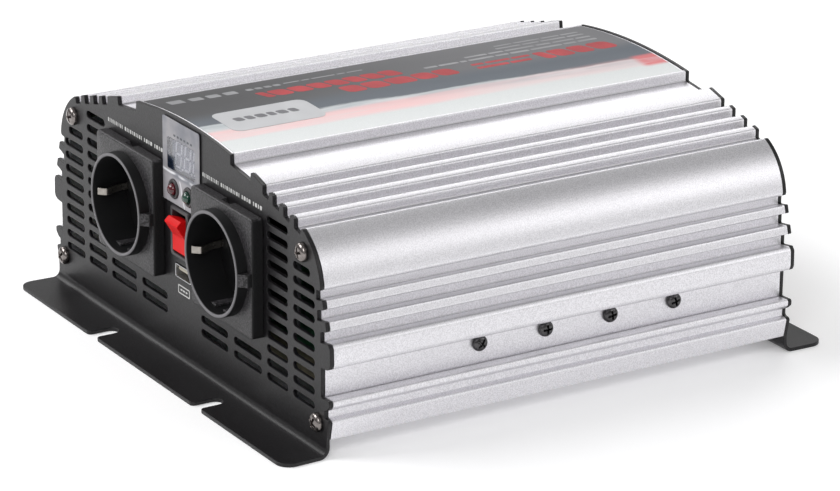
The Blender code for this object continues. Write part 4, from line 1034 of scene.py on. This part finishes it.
for side, hand, finish in ((LEFT, "red", LAMP_RED), (RIGHT, "green", LAMP_GREEN)):
    low, high = span(f"led_{hand}")
    dome = arc((0, 0), 1.0, 0, 90, 12)[::-1] * (2.5, -2.3) + (0, low[1] + 2.5)
    dome[0] = (0.0, low[1] + 0.2)
    dome[-1, 0] = 2.5
    profile = dome.tolist() + [(2.5, FACE_Y + 2.8), (2.95, FACE_Y + 2.8), (2.95, high[1]), (0, high[1])]
    middle = (side * lamp_x, lamp_z)
    piece(f"lamp_{hand}", turned(profile, middle, steps=48), finish, replaces=f"led_{hand}",
          slot=f"led_{hand}", smooth=40)
    turn = np.linspace(0, np.pi, 11)
    lip = np.stack([3.35 + 0.72 * np.cos(turn), FACE_Y - 0.9 - 0.6 * np.sin(turn)], axis=1)
    collar = lip.tolist() + [(2.63, FACE_Y - 0.1), (4.07, FACE_Y - 0.1)]
    piece(f"lamp_collar_{hand}", turned(collar, middle, steps=48, closed=True), SWITCH_BLACK, smooth=40)
print("overlay", [round(v, 1) for v in film_high - film_low], "mm")

# %% Digits
DIGIT_WIDE, DIGIT_TALL, DIGIT_STEP, SEGMENT_WIDE = 4.6, 11.2, 7.2, 0.9
DIGITS_X = 1.6
display_low, _ = span("display_module")


def segments(lean=0.12):
    """Seven hexagons: three level ones and four upright ones, leaning by a share of their height."""
    w, t, g = DIGIT_WIDE / 2, DIGIT_TALL / 2, SEGMENT_WIDE / 2
    tip, shoulder = w - g, w - 2 * g
    level = [(-tip, 0), (-shoulder, g), (shoulder, g), (tip, 0), (shoulder, -g), (-shoulder, -g)]
    level = np.array(level)
    upright = np.array([(0, g), (g, 2 * g), (g, t - 2 * g), (0, t - g), (-g, t - 2 * g), (-g, 2 * g)])
    bars = [level + (0, z) for z in (-t, 0, t)]
    bars += [upright * (1, up) + (x, 0) for x in (-w, w) for up in (1, -1)]
    return [np.stack([bar[:, 0] + lean * bar[:, 1], bar[:, 1]], axis=1) for bar in bars]


digit_face = display_low[1]
parts = []
for i in (-1, 0, 1):
    centre = np.array((DIGIT_STEP * i + DIGITS_X, window_mid))
    parts += [carried(bar * 0.94 + centre, digit_face - 0.22, digit_face - 0.02) for bar in segments()]
    dot = centre + (DIGIT_WIDE / 2 + 0.85, -DIGIT_TALL / 2)
    parts.append(carried(circle(dot, 0.5, 16), digit_face - 0.22, digit_face - 0.02))
piece("digit_segments", together(*parts), SEGMENT, slot="display", smooth=30)
frame["nodes"]["display_module"].material_slots[0].material = DISPLAY_FACE
print("digits:", len(parts), "strips and dots")

# %% [markdown]
# ## The switch and the USB outlet
#
# The switch is two mouldings: a snap-in bezel with a deep mouth, and a rocker that turns in it. The
# rocker's end view is a V with rounded tips, carried across the switch; it rides on its own body, so
# it tips when the switch is pressed. The outlet is a shell of folded steel round a pale tongue with
# four contacts.

# %% Switch
def stepped_tube(rows, centre, axis="Y"):
    """Rounded rectangles of (half width, half height, corner, level), joined in turn and capped."""
    outlines = np.stack([rounded(w, h, r, centre, 5) for w, h, r, _ in rows])
    level = np.array([row[3] for row in rows])[:, None]
    points = placed(outlines[:, :, 0], outlines[:, :, 1], level, axis)
    n = outlines.shape[1]
    last = (len(rows) - 1) * n
    return points, quads(len(rows), n, round_columns=True) + [list(range(n)), list(range(last, last + n))]


bezel_low, bezel_high = span("switch_housing")
turn = np.linspace(0, np.pi / 2, 6)
rim = bezel_low[1]
BEZEL_NECK, BEZEL_FLANGE, BEZEL_MOUTH, BEZEL_EDGE = (6.6, 9.8), (7.5, 10.6), (5.6, 9.1), 0.5
rows = [(*BEZEL_NECK, 0.8, bezel_high[1]), (*BEZEL_NECK, 0.8, FACE_Y - FIT)]
rows += [(*BEZEL_FLANGE, 1.2, FACE_Y - FIT)]
for a in turn:
    shrink, level = BEZEL_EDGE * (1 - math.cos(a)), rim + BEZEL_EDGE * (1 - math.sin(a))
    rows.append((BEZEL_FLANGE[0] - shrink, BEZEL_FLANGE[1] - shrink, 1.2, level))
rows += [(5.85, 9.35, 0.7, rim), (5.65, 9.15, 0.55, rim + 0.2)]
rows += [(*BEZEL_MOUTH, 0.5, rim + 0.5), (*BEZEL_MOUTH, 0.5, FACE_Y + 10.5)]
bezel = stepped_tube(rows, (0, switch_z))
piece("switch_bezel", bezel, SWITCH_BLACK, replaces="switch_housing", slot="switch", smooth=40)

rocker_joint = next(joint for joint in frame["joints"] if joint["name"] == "rocker_press")
pivot = np.array(rocker_joint["pos_m"])[1:] / MM
ROCKER_TILT, ROCKER_HALF = 16.0, 5.3
TIP_RADIUS, TIP_ANGLES, VALLEY_OUT = 8.5, (72, 52), 3.4


def rocker_outline():
    """Two tips on a circle round the pivot, a valley between them and a narrow back, tilted.

    The tilt turns each point (out, up) by an angle: out cos + up sin, and up cos - out sin.
    """
    high, low = TIP_ANGLES
    upper, lower = arc((0, 0), TIP_RADIUS, high, low, 8), arc((0, 0), TIP_RADIUS, -low, -high, 8)
    middle = [(VALLEY_OUT, 0.0)]
    back = [(-2.0, -5.0), (-5.0, -1.5), (-5.0, 1.5), (-2.0, 5.0)]
    out, up = softened(np.concatenate([upper, middle, lower, back]), 0.6, keep_below=10.0).T
    tilt = math.radians(ROCKER_TILT)
    turned_out = out * math.cos(tilt) + up * math.sin(tilt)
    turned_up = up * math.cos(tilt) - out * math.sin(tilt)
    return np.stack([pivot[0] - turned_out, pivot[1] + turned_up], axis=1)


pin = turned([(0, -5.9), (1.3, -5.9), (1.3, 5.9), (0, 5.9)], pivot, "X", 24)
rocker = together(carried(rocker_outline(), -ROCKER_HALF, ROCKER_HALF, "X"), pin)
piece("switch_rocker", rocker, ROCKER_RED, body="rocker", replaces="rocker", slot="rocker",
      smooth=28, edge=0.35, steps=3)
print("rocker pivots at", pivot.round(2))

# %% USB outlet
usb_low, usb_high = span("usb_shell")
USB_OUTER, USB_INNER = (6.55, 2.85, 0.7), (6.2, 2.5, 0.4)
loops = [rounded(*half, (0, usb_z), 6) for half in (USB_OUTER, USB_INNER)]
shell = sheet(loops, usb_low[1], usb_high[1])
piece("usb_tube", shell, STEEL, replaces="usb_shell", slot="usb_shell", smooth=40, edge=0.1)
tongue_low, tongue_high = span("usb_insulator")
base = soft_block((5.9, 2.2), (0, usb_z), tongue_high[1], FACE_Y + 9.0, 0.3, 0.2)
tongue = soft_block((5.5, 0.9), (0, usb_z + 1.0), FACE_Y + 9.4, tongue_low[1], 0.25, 0.25)
piece("usb_tongue", together(base, tongue), USB_PLASTIC, replaces="usb_insulator",
      slot="usb_insulator", smooth=40)
strips = [
    soft_block((0.5, 0.07), (x, usb_z + 0.07), FACE_Y + 8.9, FACE_Y + 1.2, 0.05, 0.05)
    for x in (-3.5, -1.2, 1.2, 3.5)
]
piece("usb_contacts", together(*strips), BRASS, slot="brass", smooth=40)
print("USB opening", [round(v, 1) for v in (usb_high - usb_low)[[0, 2]]], "mm")

# %% [markdown]
# ## Printing on the front
#
# The sheet carries a line of small print over each socket and a mark under the outlet. Words would
# be someone's own, so we set strokes in a steady rhythm instead, and a plain frame for the mark.
# They are a layer of paint: prisms a few hundredths of a millimetre proud of the coat.


# %% Dummy text
def dashes(start, end, v, tall, words, gap=0.9, slant=0.0):
    """Rounded bars of the given lengths, scaled to fill a line from start to end."""
    words = np.array(words, float)
    wide = words * (end - start - gap * (len(words) - 1)) / words.sum()
    left = start + np.cumsum(wide + gap) - (wide + gap)
    bars = [rounded(w / 2, tall / 2, min(tall, w) * 0.3, (u + w / 2, v), 3) for u, w in zip(left, wide)]
    return [np.stack([bar[:, 0] + slant * (bar[:, 1] - v), bar[:, 1]], axis=1) for bar in bars]


RHYTHM = (2, 1, 1, 2, 1, 2, 1, 1)
PRINT_Z, MARK_Z = 87.1, 31.6
lines = []
for middle in (-socket_x, socket_x):
    for start, end, repeats in ((-24.0, -11.0, 1), (-9.0, 6.0, 1), (8.0, 15.0, 0), (17.0, 24.0, 0)):
        words = RHYTHM + RHYTHM[:2] if repeats else RHYTHM[2:6]
        lines += dashes(middle + start, middle + end, PRINT_Z, 1.7, words, 0.75)
lines += dashes(-2.9, 2.9, MARK_Z, 0.7, (1, 1, 1), 0.6)
shapes = [carried(bar, FACE_Y + 0.02, FACE_Y - 0.04) for bar in lines]
frame_loops = [rounded(4.9, 1.9, 0.6, (0, MARK_Z), 4), rounded(4.4, 1.4, 0.35, (0, MARK_Z), 4)]
shapes.append(sheet(frame_loops, FACE_Y - 0.04, FACE_Y + 0.02))
piece("front_print", together(*shapes), PRINT_WHITE, slot="panel", smooth=40)
print("dashes on the front:", len(lines))

# %% [markdown]
# ## The label
#
# The label is a vinyl sheet laid in the crown's shallow bed. Its artwork is a charcoal field that
# ends in a rough, blue-grey brushed edge, a thin red brush mark beside it, and bare silver beyond.
# All of that follows from a point's x and y: we bend the edge with noise that is drawn out along the
# label, as bristles would, and turn the distance to it into a mask. The field also pales towards the
# rear, which stands in for the sheen of the room on glossy vinyl.


# %% Label finish
def label_finish():
    """Field, edge, red brush and silver, mixed in turn by the distance past the wavy edge."""
    made = Finish("label_vinyl", (0.1, 0.1, 0.11), 0.34, Coat_Weight=0.35, Coat_Roughness=0.22)
    x, y, _ = made.axes()
    bristles = made.noise(5.0, 5.0, made.stretched(1.0, 0.16, 1.0), 0.62)
    drift = made.noise(45.0, 2.0, made.stretched(0.4, 1.0, 1.0))
    edge = 9.5 + (y + 110.0) * 0.042 + (bristles - 0.5) * 7.0 + (drift - 0.5) * 4.0
    past = x - edge
    silver_grain = made.noise(0.3, 2.0)
    silver = made.mix(silver_grain.ramp(0.3, 0.7), (0.53, 0.55, 0.55), (0.60, 0.62, 0.62))
    rough_grey = made.mix(bristles.ramp(0.35, 0.65), (0.40, 0.44, 0.46), (0.56, 0.57, 0.58))
    # Painted reflection: the field pales from front to rear, standing in for the room's sheen on the glossy
    # vinyl.
    wear_and_sheen = made.mix((y + 110.0).ramp(0.0, 200.0), (0.012, 0.012, 0.015), (0.125, 0.125, 0.135))
    field = made.mix((x + 4.0).ramp(-2.0, 12.0), wear_and_sheen, (0.036, 0.055, 0.080))
    ground = made.mix(past.ramp(-0.6, 1.6), field, rough_grey)
    ground = made.mix(past.ramp(5.0, 9.0), ground, silver)
    streak = made.noise(3.0, 4.0, made.stretched(1.0, 0.05, 1.0), 0.6)
    centre = 22.0 + (drift - 0.5) * 3.0
    spread = abs(x - centre)
    band = 1.0 - spread.ramp(3.2, 6.4)
    thinning = 0.62 - (y + 20.0).ramp(0.0, 60.0) * 0.34
    brush = band * (streak.ramp(0.22, 0.62) * 0.55 + 0.45) * thinning
    ground = made.mix(brush, ground, (0.86, 0.42, 0.42))
    rear = (y - 94.0).ramp(0.0, 5.0) * (1.0 - abs(x - 22.0).ramp(4.0, 7.5)) * streak.ramp(0.2, 0.5)
    ground = made.mix(rear * 0.9, ground, (0.62, 0.075, 0.085))
    made.feed(**{"Base Color": ground})
    dark = 1.0 - past.ramp(0.0, 3.0)
    made.feed(Roughness=0.40 - dark * 0.08 + silver_grain * 0.06, Metallic=past.ramp(5.0, 9.0) * 0.35)
    return made.bump(made.noise(30.0, 2.0) + silver_grain * 0.01, 0.15).material


LABEL = label_finish()
LABEL_RED = moulding("label_red_ink", (0.36, 0.022, 0.028), 0.40, 0.3, 0.003, 1.4, Specular_IOR_Level=0.35)
LABEL_GREY = moulding("label_grey_ink", (0.24, 0.24, 0.25), 0.4, 0.3, 0.003, 1.4, Coat_Weight=0.3)
STICKER = moulding("blank_sticker", (0.47, 0.475, 0.49), 0.42, 0.3, 0.004, 1.08, Coat_Weight=0.15)
STICKER_INK = moulding("sticker_ink", (0.10, 0.10, 0.11), 0.4, 0.2, 0.002)


# %% Label, sticker and their printing
def patch(x, y, half_x, half_y, corner, low, high, slant=0.0):
    """A rounded rectangle laid on the crown in slices across x, so that it follows the curve.

    A slice's reach along y is half_y, less what the corner's circle takes off near the ends.
    """
    u = half_x * np.sin(np.linspace(-np.pi / 2, np.pi / 2, 15))
    past = np.maximum(np.abs(u) - (half_x - corner), 0.0)
    reach = half_y - corner + np.sqrt(np.maximum(corner**2 - past**2, 0.0))
    along = y + slant * u[:, None] + reach[:, None] * (-1, -1, 1, 1)
    level = crown(x + u)[:, None] + (low, high, high, low)
    points = placed(x + u[:, None], along, level, "Z")
    n = len(points)
    return points, quads(len(u), 4, round_columns=True) + [[0, 1, 2, 3], [n - 4, n - 3, n - 2, n - 1]]


bed = -LABEL_BED
band = np.linspace(-LABEL_EDGE + 0.35, LABEL_EDGE - 0.35, 60)
label_top, label_foot = crown(band) + bed + 0.16, crown(band) + bed - 0.02
section = [np.stack([band, label_top], axis=1), np.stack([band, label_foot], axis=1)[::-1]]
section = np.concatenate(section)
piece("label", carried(section, -SHELL_HALF + 0.8, SHELL_HALF - 0.8), LABEL, slot="housing", smooth=30)

ink = (bed + 0.15, bed + 0.185)


def lettering(y_start, y_end, x_low, x_high, words, slant=0.0, levels=ink):
    """Bars of the given lengths for a line that runs along the label."""
    words = np.array(words, float)
    gap, tall = 1.1, x_high - x_low
    wide = words * (y_end - y_start - gap * (len(words) - 1)) / words.sum()
    start = y_start + np.cumsum(wide + gap) - (wide + gap)
    corners = np.minimum(wide, tall) * 0.3
    places = zip(start + wide / 2, wide / 2, corners)
    across = (x_low + x_high) / 2
    return [patch(across, y, tall / 2, half, corner, *levels, slant) for y, half, corner in places]


# Each line: where it starts and ends from the front, its low and high side, its bars and its slant
RED_LINES = (
    (77, 131, -8.0, 1.0, (1, 1.1, 1.3, 1, 1), 0.25),
    (45, 110, -19.5, -10.5, (0.5, 1.1, 1.1, 1, 1, 1, 1, 1), 0.25),
    (173, 210, -8.0, 2.0, (0.6, 1, 1, 1.2), 0.25),
    (141, 168, -2.6, 0.0, (3, 2)),
    (141, 170, -7.4, -5.2, (2, 4, 3)),
)
GREY_LINES = (
    (122, 209, -14.2, -12.0, (2, 3, 1, 4, 2, 3, 5, 2, 3)),
    (145, 209, -19.0, -17.0, (3, 2, 4, 2, 3, 2)),
    (164, 209, -24.0, -22.2, (3, 2, 3, 2)),
    (166, 209, -28.6, -26.8, (2, 3, 2, 2)),
    (44, 60, -27.8, -24.6, (1, 1, 1, 1)),
    (62, 100, -27.6, -26.2, (2, 1, 3, 1, 2)),
)
SQUARES = ((-26.0, 36.5, 2.6, 2.9, 0.8), (-26.0, 28.5, 2.6, 2.9, 0.8), (-26.0, 20.5, 2.6, 2.9, 0.8))
SQUARES += ((-26.5, 11.5, 2.9, 3.3, 0.3),)
front = -HALF_LENGTH
red, grey = (
    [bar for start, end, *line in lines for bar in lettering(front + start, front + end, *line)]
    for lines in (RED_LINES, GREY_LINES)
)
grey += [patch(x, front + y, *size, *ink) for x, y, *size in SQUARES]
piece("label_red_bars", together(*red), LABEL_RED, slot="housing", smooth=40)
piece("label_grey_bars", together(*grey), LABEL_GREY, slot="housing", smooth=40)

sticker_y = front + 34.5
sticker = patch(9.6, sticker_y, 11.2, 21.6, 4.0, bed + 0.10, bed + 0.30)
piece("sticker", sticker, STICKER, slot="housing", smooth=40)
words, levels = (1, 0.9, 1.1, 0.8, 1.1, 0.9), (bed + 0.28, bed + 0.33)
marks = lettering(sticker_y - 15.5, sticker_y + 13.5, 6.9, 11.1, words, 0.2, levels)
piece("sticker_bars", together(*marks), STICKER_INK, slot="housing", smooth=40)
print("label bars:", len(red) + len(grey))

# %% [markdown]
# ## The rear: guard, studs and hand nuts
#
# The fan's finger guard is a stamping: rings and four spokes left between cut-outs. The studs carry
# a real thread. Its surface is a grid in turn and height, and the radius is the stud's less a
# triangle wave of height over pitch minus turn, which is exactly what a helix is.

# %% Fan guard
guard_low, guard_high = span("fan_guard")
GUARD_GAPS = ((6.0, 12.6), (14.2, 20.6), (22.2, 28.0))
loops = [rounded(31.0, 31.0, 6.5, (0, fan_z), 12)]
loops += [circle(corner, 2.0, 20) for corner in fan_corners]
for inner, outer in GUARD_GAPS:
    inset = math.degrees(1.0 / inner)
    for quarter in range(4):
        start, end = 45 + 90 * quarter + inset, 135 + 90 * quarter - inset
        rim, hub = arc((0, fan_z), outer, start, end, 20), arc((0, fan_z), inner, end, start, 14)
        loops.append(softened(np.concatenate([rim, hub]), 0.8, keep_below=30.0))
guard = sheet(loops, guard_low[1], guard_high[1])
piece("guard", guard, STEEL, replaces="fan_guard", slot="guard", smooth=32, edge=0.3)
for i, (sx, sz) in enumerate(((1, 1), (-1, 1), (-1, -1), (1, -1))):
    u, v, h = cross_head(3.4, 1.9, 1.7, 6.0, rings=22, steps=48, twist=31.0 * i)
    points = placed(sx * fan_hole + u, fan_z + sz * fan_hole + v, guard_high[1] + 0.02 + h, "Y")
    piece(f"fan_screw_{i + 1}", (points, quads(*h.shape, round_columns=True)), BLACK_NICKEL, smooth=40)
print("guard gaps:", len(loops) - 5)


# %% Battery studs
def thread(radius, pitch, depth, start, end, steps=32, per_turn=8):
    """Radii over turn and height: the stud's, less depth times a triangle wave that climbs the turn."""
    height = np.linspace(start, end, int((end - start) / pitch * per_turn) + 1)[:, None]
    turn = np.linspace(0, 2 * np.pi, steps, endpoint=False)[None]
    wave = np.abs(((height / pitch - turn / (2 * np.pi)) % 1.0) * 2 - 1)
    fade = np.clip(np.minimum(height - start, end - height) / pitch, 0, 1)
    radius, height = np.broadcast_arrays(radius - depth * (1 - wave) * fade, height)
    return radius, height, turn


def make_stud(name, side, colour):
    """One cable stud: threaded stud, insulating base, washer and hand nut, each at its CAD height."""
    grip_slot = "terminal_" + {"negative": "black", "positive": "red"}[name]
    low, high = span(f"terminal_stud_{name}")
    middle = (side * terminal_x, terminal_z)
    face = HALF_LENGTH
    radius, height, turn = thread(4.0, 1.25, 0.75, face + 6.2, high[1] - 0.6)
    cap = np.array([[3.2, high[1] - 0.1], [2.4, high[1]], [0.0, high[1]]])
    foot = [[0.0, low[1]], [3.6, low[1]], [4.0, low[1] + 0.5], [4.0, face + 4.3], [7.7, face + 4.3]]
    foot += [[8.0, face + 4.6], [8.0, face + 5.7], [7.7, face + 6.0], [4.0, face + 6.0]]
    foot = np.array(foot)
    spread = np.ones((1, radius.shape[1]))
    radius = np.concatenate([foot[:, :1] * spread, radius, cap[:, :1] * spread])
    height = np.concatenate([foot[:, 1:] * spread, height, cap[:, 1:] * spread])
    points = placed(middle[0] + radius * np.cos(turn), middle[1] + radius * np.sin(turn), height, "Y")
    piece(f"stud_{name}", (points, quads(*radius.shape, round_columns=True)), BRASS,
          replaces=f"terminal_stud_{name}", slot="brass", smooth=40)
    bore = 4.32
    base = [(bore, face - 7), (7.0, face - 7), (7.0, face + FIT), (12.0, face + FIT)]
    base += [(12.0, face + 4.0), (9.0, face + 4.0), (8.6, face + 3.4), (bore, face + 3.4)]
    piece(f"stud_base_{name}", turned(softened(base, 0.6), middle, steps=72, closed=True), colour,
          replaces=f"terminal_base_{name}", slot=grip_slot, smooth=40)
    low, high = span(f"terminal_washer_{name}")
    ring = softened([(bore, low[1]), (8.2, low[1]), (8.2, high[1]), (bore, high[1])], 0.3)
    piece(f"washer_{name}", turned(ring, middle, steps=64, closed=True), BRASS, body=f"washer_{name}",
          replaces=f"terminal_washer_{name}", slot="brass", smooth=40)
    low, high = span(f"terminal_nut_{name}")
    angle = np.linspace(0, 2 * np.pi, 160, endpoint=False)
    grip = 9.3 + 0.7 * np.cos(10 * angle)
    fluted = np.stack([middle[0] + grip * np.cos(angle), middle[1] + grip * np.sin(angle)], axis=1)
    grip_shape = sheet([fluted, circle(middle, 6.0, 48)], low[1], high[1])
    start, end = low[1] + 0.1, high[1] - 0.3
    insert = softened([(bore, start), (6.1, start), (6.1, end), (bore, end)], 0.25)
    piece(f"hand_nut_{name}", grip_shape, colour, body=f"nut_{name}", replaces=f"terminal_nut_{name}",
          slot=grip_slot, smooth=40, edge=0.5, steps=3)
    piece(f"nut_insert_{name}", turned(insert, middle, steps=48, closed=True), BRASS, body=f"nut_{name}",
          slot="brass", smooth=40)


make_stud("negative", LEFT, TERMINAL_BLACK)
make_stud("positive", RIGHT, TERMINAL_RED)
print("studs:", [name for name in made_pieces if name.startswith("stud")])

# %% [markdown]
# ## What is inside
#
# Through the vents one sees a board, two transformers, the rows of power transistors clamped to the
# walls, and leads. Their CAD solids already have the right shape, so they stay, and only their
# finishes change. The board gets a tracery of copper under green lacquer, the windings get their
# turns as a fine wave, and a few small parts are added where a real board would carry them.


# %% Inside finishes
def board_finish():
    """Green lacquer, paler over the gaps between cells, which read as tracks."""
    made = Finish("circuit_board", (0.015, 0.10, 0.045), 0.35, Coat_Weight=0.4, Coat_Roughness=0.2)
    tracks = made.cells(6.0)
    lacquer, copper = (0.012, 0.085, 0.036), (0.03, 0.17, 0.07)
    made.feed(**{"Base Color": made.mix(tracks.ramp(0.25, 0.5), lacquer, copper)})
    made.feed(Roughness=0.30 + made.noise(4.0) * 0.15)
    return made.bump(tracks.ramp(0.25, 0.5), 0.05).material


def wound(name, colour, pitch):
    """Tape over wire: a sine of height over pitch gives both the tone and the bumps."""
    made = Finish(name, colour, 0.35, Coat_Weight=0.3)
    _, _, z = made.axes()
    turns = made.node("Math", {"operation": "SINE"}, {0: z * (2 * math.pi / pitch)}).value("Value")
    dark = tuple(part * 0.55 for part in colour)
    made.feed(**{"Base Color": made.mix(turns * 0.5 + 0.5, dark, colour)})
    made.feed(Roughness=0.30 + made.noise(2.0) * 0.15)
    return made.bump(turns, 0.3).material


INSIDE = {
    "main_board": board_finish(),
    "insulation_sheet": moulding("insulation_paper", (0.50, 0.45, 0.32), 0.7, 0.5, 0.03, 1.15),
    "transformer_core": moulding("ferrite", (0.045, 0.045, 0.050), 0.55, 0.3, 0.03),
    "transformer_winding": wound("winding_tape", (0.70, 0.50, 0.05), 1.2),
    "transistor_row": moulding("transistor_plastic", (0.018, 0.018, 0.019), 0.5, 0.2, 0.01),
    "clamp_bar": STEEL,
    "capacitor": moulding("capacitor_sleeve", (0.015, 0.04, 0.17), 0.3, 0.6, 0.01, 1.3, Coat_Weight=0.4),
    "fuse_block": moulding("fuse_plastic", (0.04, 0.30, 0.10), 0.3, 0.4, 0.01, 1.2),
    "fan_frame": FAN_BLACK,
    "fan_rotor": FAN_BLACK,
    "dc_lead_positive": moulding("lead_red", (0.50, 0.015, 0.015), 0.4, 0.8, 0.02, 1.2),
    "dc_lead_negative": moulding("lead_black", (0.018, 0.018, 0.018), 0.4, 0.8, 0.02),
    "ac_lead": moulding("lead_grey", (0.26, 0.26, 0.28), 0.42, 0.8, 0.02, 1.2),
}
for node, solid in frame["nodes"].items():
    for start, finish in INSIDE.items():
        if node.startswith(start):
            solid.material_slots[0].material = finish
print("finished CAD nodes:", sum(node.startswith(tuple(INSIDE)) for node in frame["nodes"]))

# %% Small parts on the board
board_top = span("main_board")[1][2]
RESISTOR = moulding("resistor_body", (0.42, 0.30, 0.16), 0.45, 0.3, 0.01, 1.2)
CHOKE_COPPER = plated("choke_wire", (0.72, 0.33, 0.16), 0.3)
RESISTOR_SHAPE = ((0, -3.2), (1.0, -3.2), (1.25, -2.6), (1.1, 0), (1.25, 2.6), (1.0, 3.2), (0, 3.2))
resistors = [
    turned([(r, x + along) for r, along in RESISTOR_SHAPE], (y, board_top + 1.5), "X", 20)
    for x in (-78, -66, 66, 78) for y in (-70, -64, -58, 40, 46)
]
piece("board_resistors", together(*resistors), RESISTOR, slot="board", smooth=40)
turn = np.linspace(0, 2 * np.pi, 360, endpoint=False)
TURNS, CHOKE_X, CHOKE_Y = 26, -62.0, -30.0
ring_radius = 11.0 + 4.6 * np.cos(TURNS * turn)
line = [ring_radius * np.cos(turn) + CHOKE_X, ring_radius * np.sin(turn) + CHOKE_Y]
line = np.stack([*line, board_top + 7.4 + 5.4 * np.sin(TURNS * turn)], axis=1)


def wire(line, radius, sides=8):
    """A closed tube: round each point of a line, a circle across the line's own direction."""
    along = np.roll(line, -1, 0) - np.roll(line, 1, 0)
    along /= np.linalg.norm(along, axis=1)[:, None]
    out = line - line.mean(0)
    across = np.cross(along, out)
    across /= np.linalg.norm(across, axis=1)[:, None]
    other = np.cross(along, across)
    a = np.linspace(0, 2 * np.pi, sides, endpoint=False)[None, :, None]
    points = line[:, None] + radius * (np.cos(a) * across[:, None] + np.sin(a) * other[:, None])
    return points.reshape(-1, 3), quads(len(line), sides, True, True)


piece("choke_winding", wire(line, 0.62), CHOKE_COPPER, slot="board", smooth=60)
start, end = board_top + 3.0, board_top + 11.8
core = softened([(7.4, start), (14.6, start), (14.6, end), (7.4, end)], 1.5)
core = turned(core, (CHOKE_X, CHOKE_Y), "Z", 48, closed=True)
piece("choke_core", core, INSIDE["transformer_core"], slot="board", smooth=40)
control = box_block((56, 96), (-46, -44.4), (board_top + 0.4, board_top + 26))
piece("control_board", control, INSIDE["main_board"], slot="board", smooth=40, edge=0.1)
print("small parts:", len(resistors) + 3)

# %% [markdown]
# ## Floor, light and camera
#
# The inverter stands on a white sweep that glows a little, so that it stays white away from the
# lamps. Two large soft lamps on the socket side give most of the light. Three weak ones, two behind
# and one at the left, put an edge on the ribs and screws. The camera stands 1.6 m off with a long
# lens, so the lines stay near parallel.


# %% Stage
def floor_finish():
    """Matt white with a wide, faint cloud, and a weak glow of its own."""
    glow = {"Emission_Color": (1, 1, 1, 1), "Emission_Strength": 0.20}
    made = Finish("studio_floor", (0.90, 0.90, 0.905), 0.62, **glow)
    cloud = made.noise(500.0, 2.0)
    made.feed(**{"Base Color": made.mix(cloud, (0.89, 0.89, 0.895), (0.92, 0.92, 0.925))})
    made.feed(Roughness=0.58 + cloud * 0.08)
    return made.material


FLOOR_RADIUS, FLOOR_RINGS, FLOOR_DROP = 6000, 13, 0.02
radius = np.linspace(0, FLOOR_RADIUS, FLOOR_RINGS)
floor_profile = np.stack([radius, np.zeros(FLOOR_RINGS)], axis=1)
points, faces = turned(floor_profile, (0, 0), "Z", 64)
points[:, 2] -= FLOOR_DROP
mesh = bpy.data.meshes.new("studio_floor")
mesh.from_pydata((points * MM).tolist(), [], faces)
mesh.materials.append(floor_finish())
floor = bpy.data.objects.new("studio_floor", mesh)
bpy.context.scene.collection.objects.link(floor)

world = bpy.data.worlds.new("studio")
bpy.context.scene.world = world
world.use_nodes = True
sky = world.node_tree.nodes["Background"]
sky.inputs["Color"].default_value = (1.0, 1.0, 1.0, 1.0)
sky.inputs["Strength"].default_value = 0.34


def box_lamp(name, place, target, size, watts, tint=(1, 1, 1)):
    """A rectangular lamp at a place in metres, turned to face its target."""
    light = bpy.data.lights.new(name, "AREA")
    light.shape, light.size, light.size_y = "RECTANGLE", *size
    light.energy, light.color = watts, tint
    lamp_object = bpy.data.objects.new(name, light)
    bpy.context.scene.collection.objects.link(lamp_object)
    lamp_object.location = place
    way = Vector(target) - Vector(place)
    lamp_object.rotation_euler = way.to_track_quat("-Z", "Y").to_euler()


box_lamp("behind_left", (-1.35, 1.1, 1.45), (0, 0, 0.08), (1.4, 0.7), 9)
box_lamp("behind_right", (1.35, 1.25, 0.95), (0.1, 0, 0.06), (1.5, 0.85), 8)
box_lamp("left", (-1.3, -0.35, 0.9), (0, -0.1, 0.03), (0.9, 0.5), 5)
box_lamp("front_left", (-1.1, -1.9, 2.1), (0, 0, 0.0), (1.5, 1.5), 50)
box_lamp("front_right", (1.9, -1.6, 1.9), (0, 0, 0.0), (1.2, 1.2), 28)

camera_data = bpy.data.cameras.new("camera")
camera = bpy.data.objects.new("camera", camera_data)
bpy.context.scene.collection.objects.link(camera)
CAMERA_LENS, CAMERA_PLACE = 159.87, (1.2536, -0.77786, 0.56824)
camera_data.lens, camera_data.sensor_width = CAMERA_LENS, 36.0
camera_data.clip_start, camera_data.clip_end = 0.05, 30.0
AZIMUTH, ELEVATION, ROLL = (math.radians(a) for a in (58.101, 19.998, 0.576))
level_reach = math.cos(ELEVATION)
back = (math.sin(AZIMUTH) * level_reach, -math.cos(AZIMUTH) * level_reach, math.sin(ELEVATION))
back = Vector(back)
level_right = (-back).cross(Vector((0, 0, 1))).normalized()
level_up = level_right.cross(-back)
right = math.cos(ROLL) * level_right + math.sin(ROLL) * level_up
up = right.cross(-back)
turned_to = Matrix((right, up, back)).transposed().to_4x4()
camera.matrix_world = Matrix.Translation(CAMERA_PLACE) @ turned_to
bpy.context.scene.camera = camera
bpy.context.scene.view_settings.view_transform = "Standard"
print("camera", round(camera.location.length, 3), "m from the middle")

# %% Sizes and the last line
bpy.context.view_layer.update()
print("pieces:", len(made_pieces))
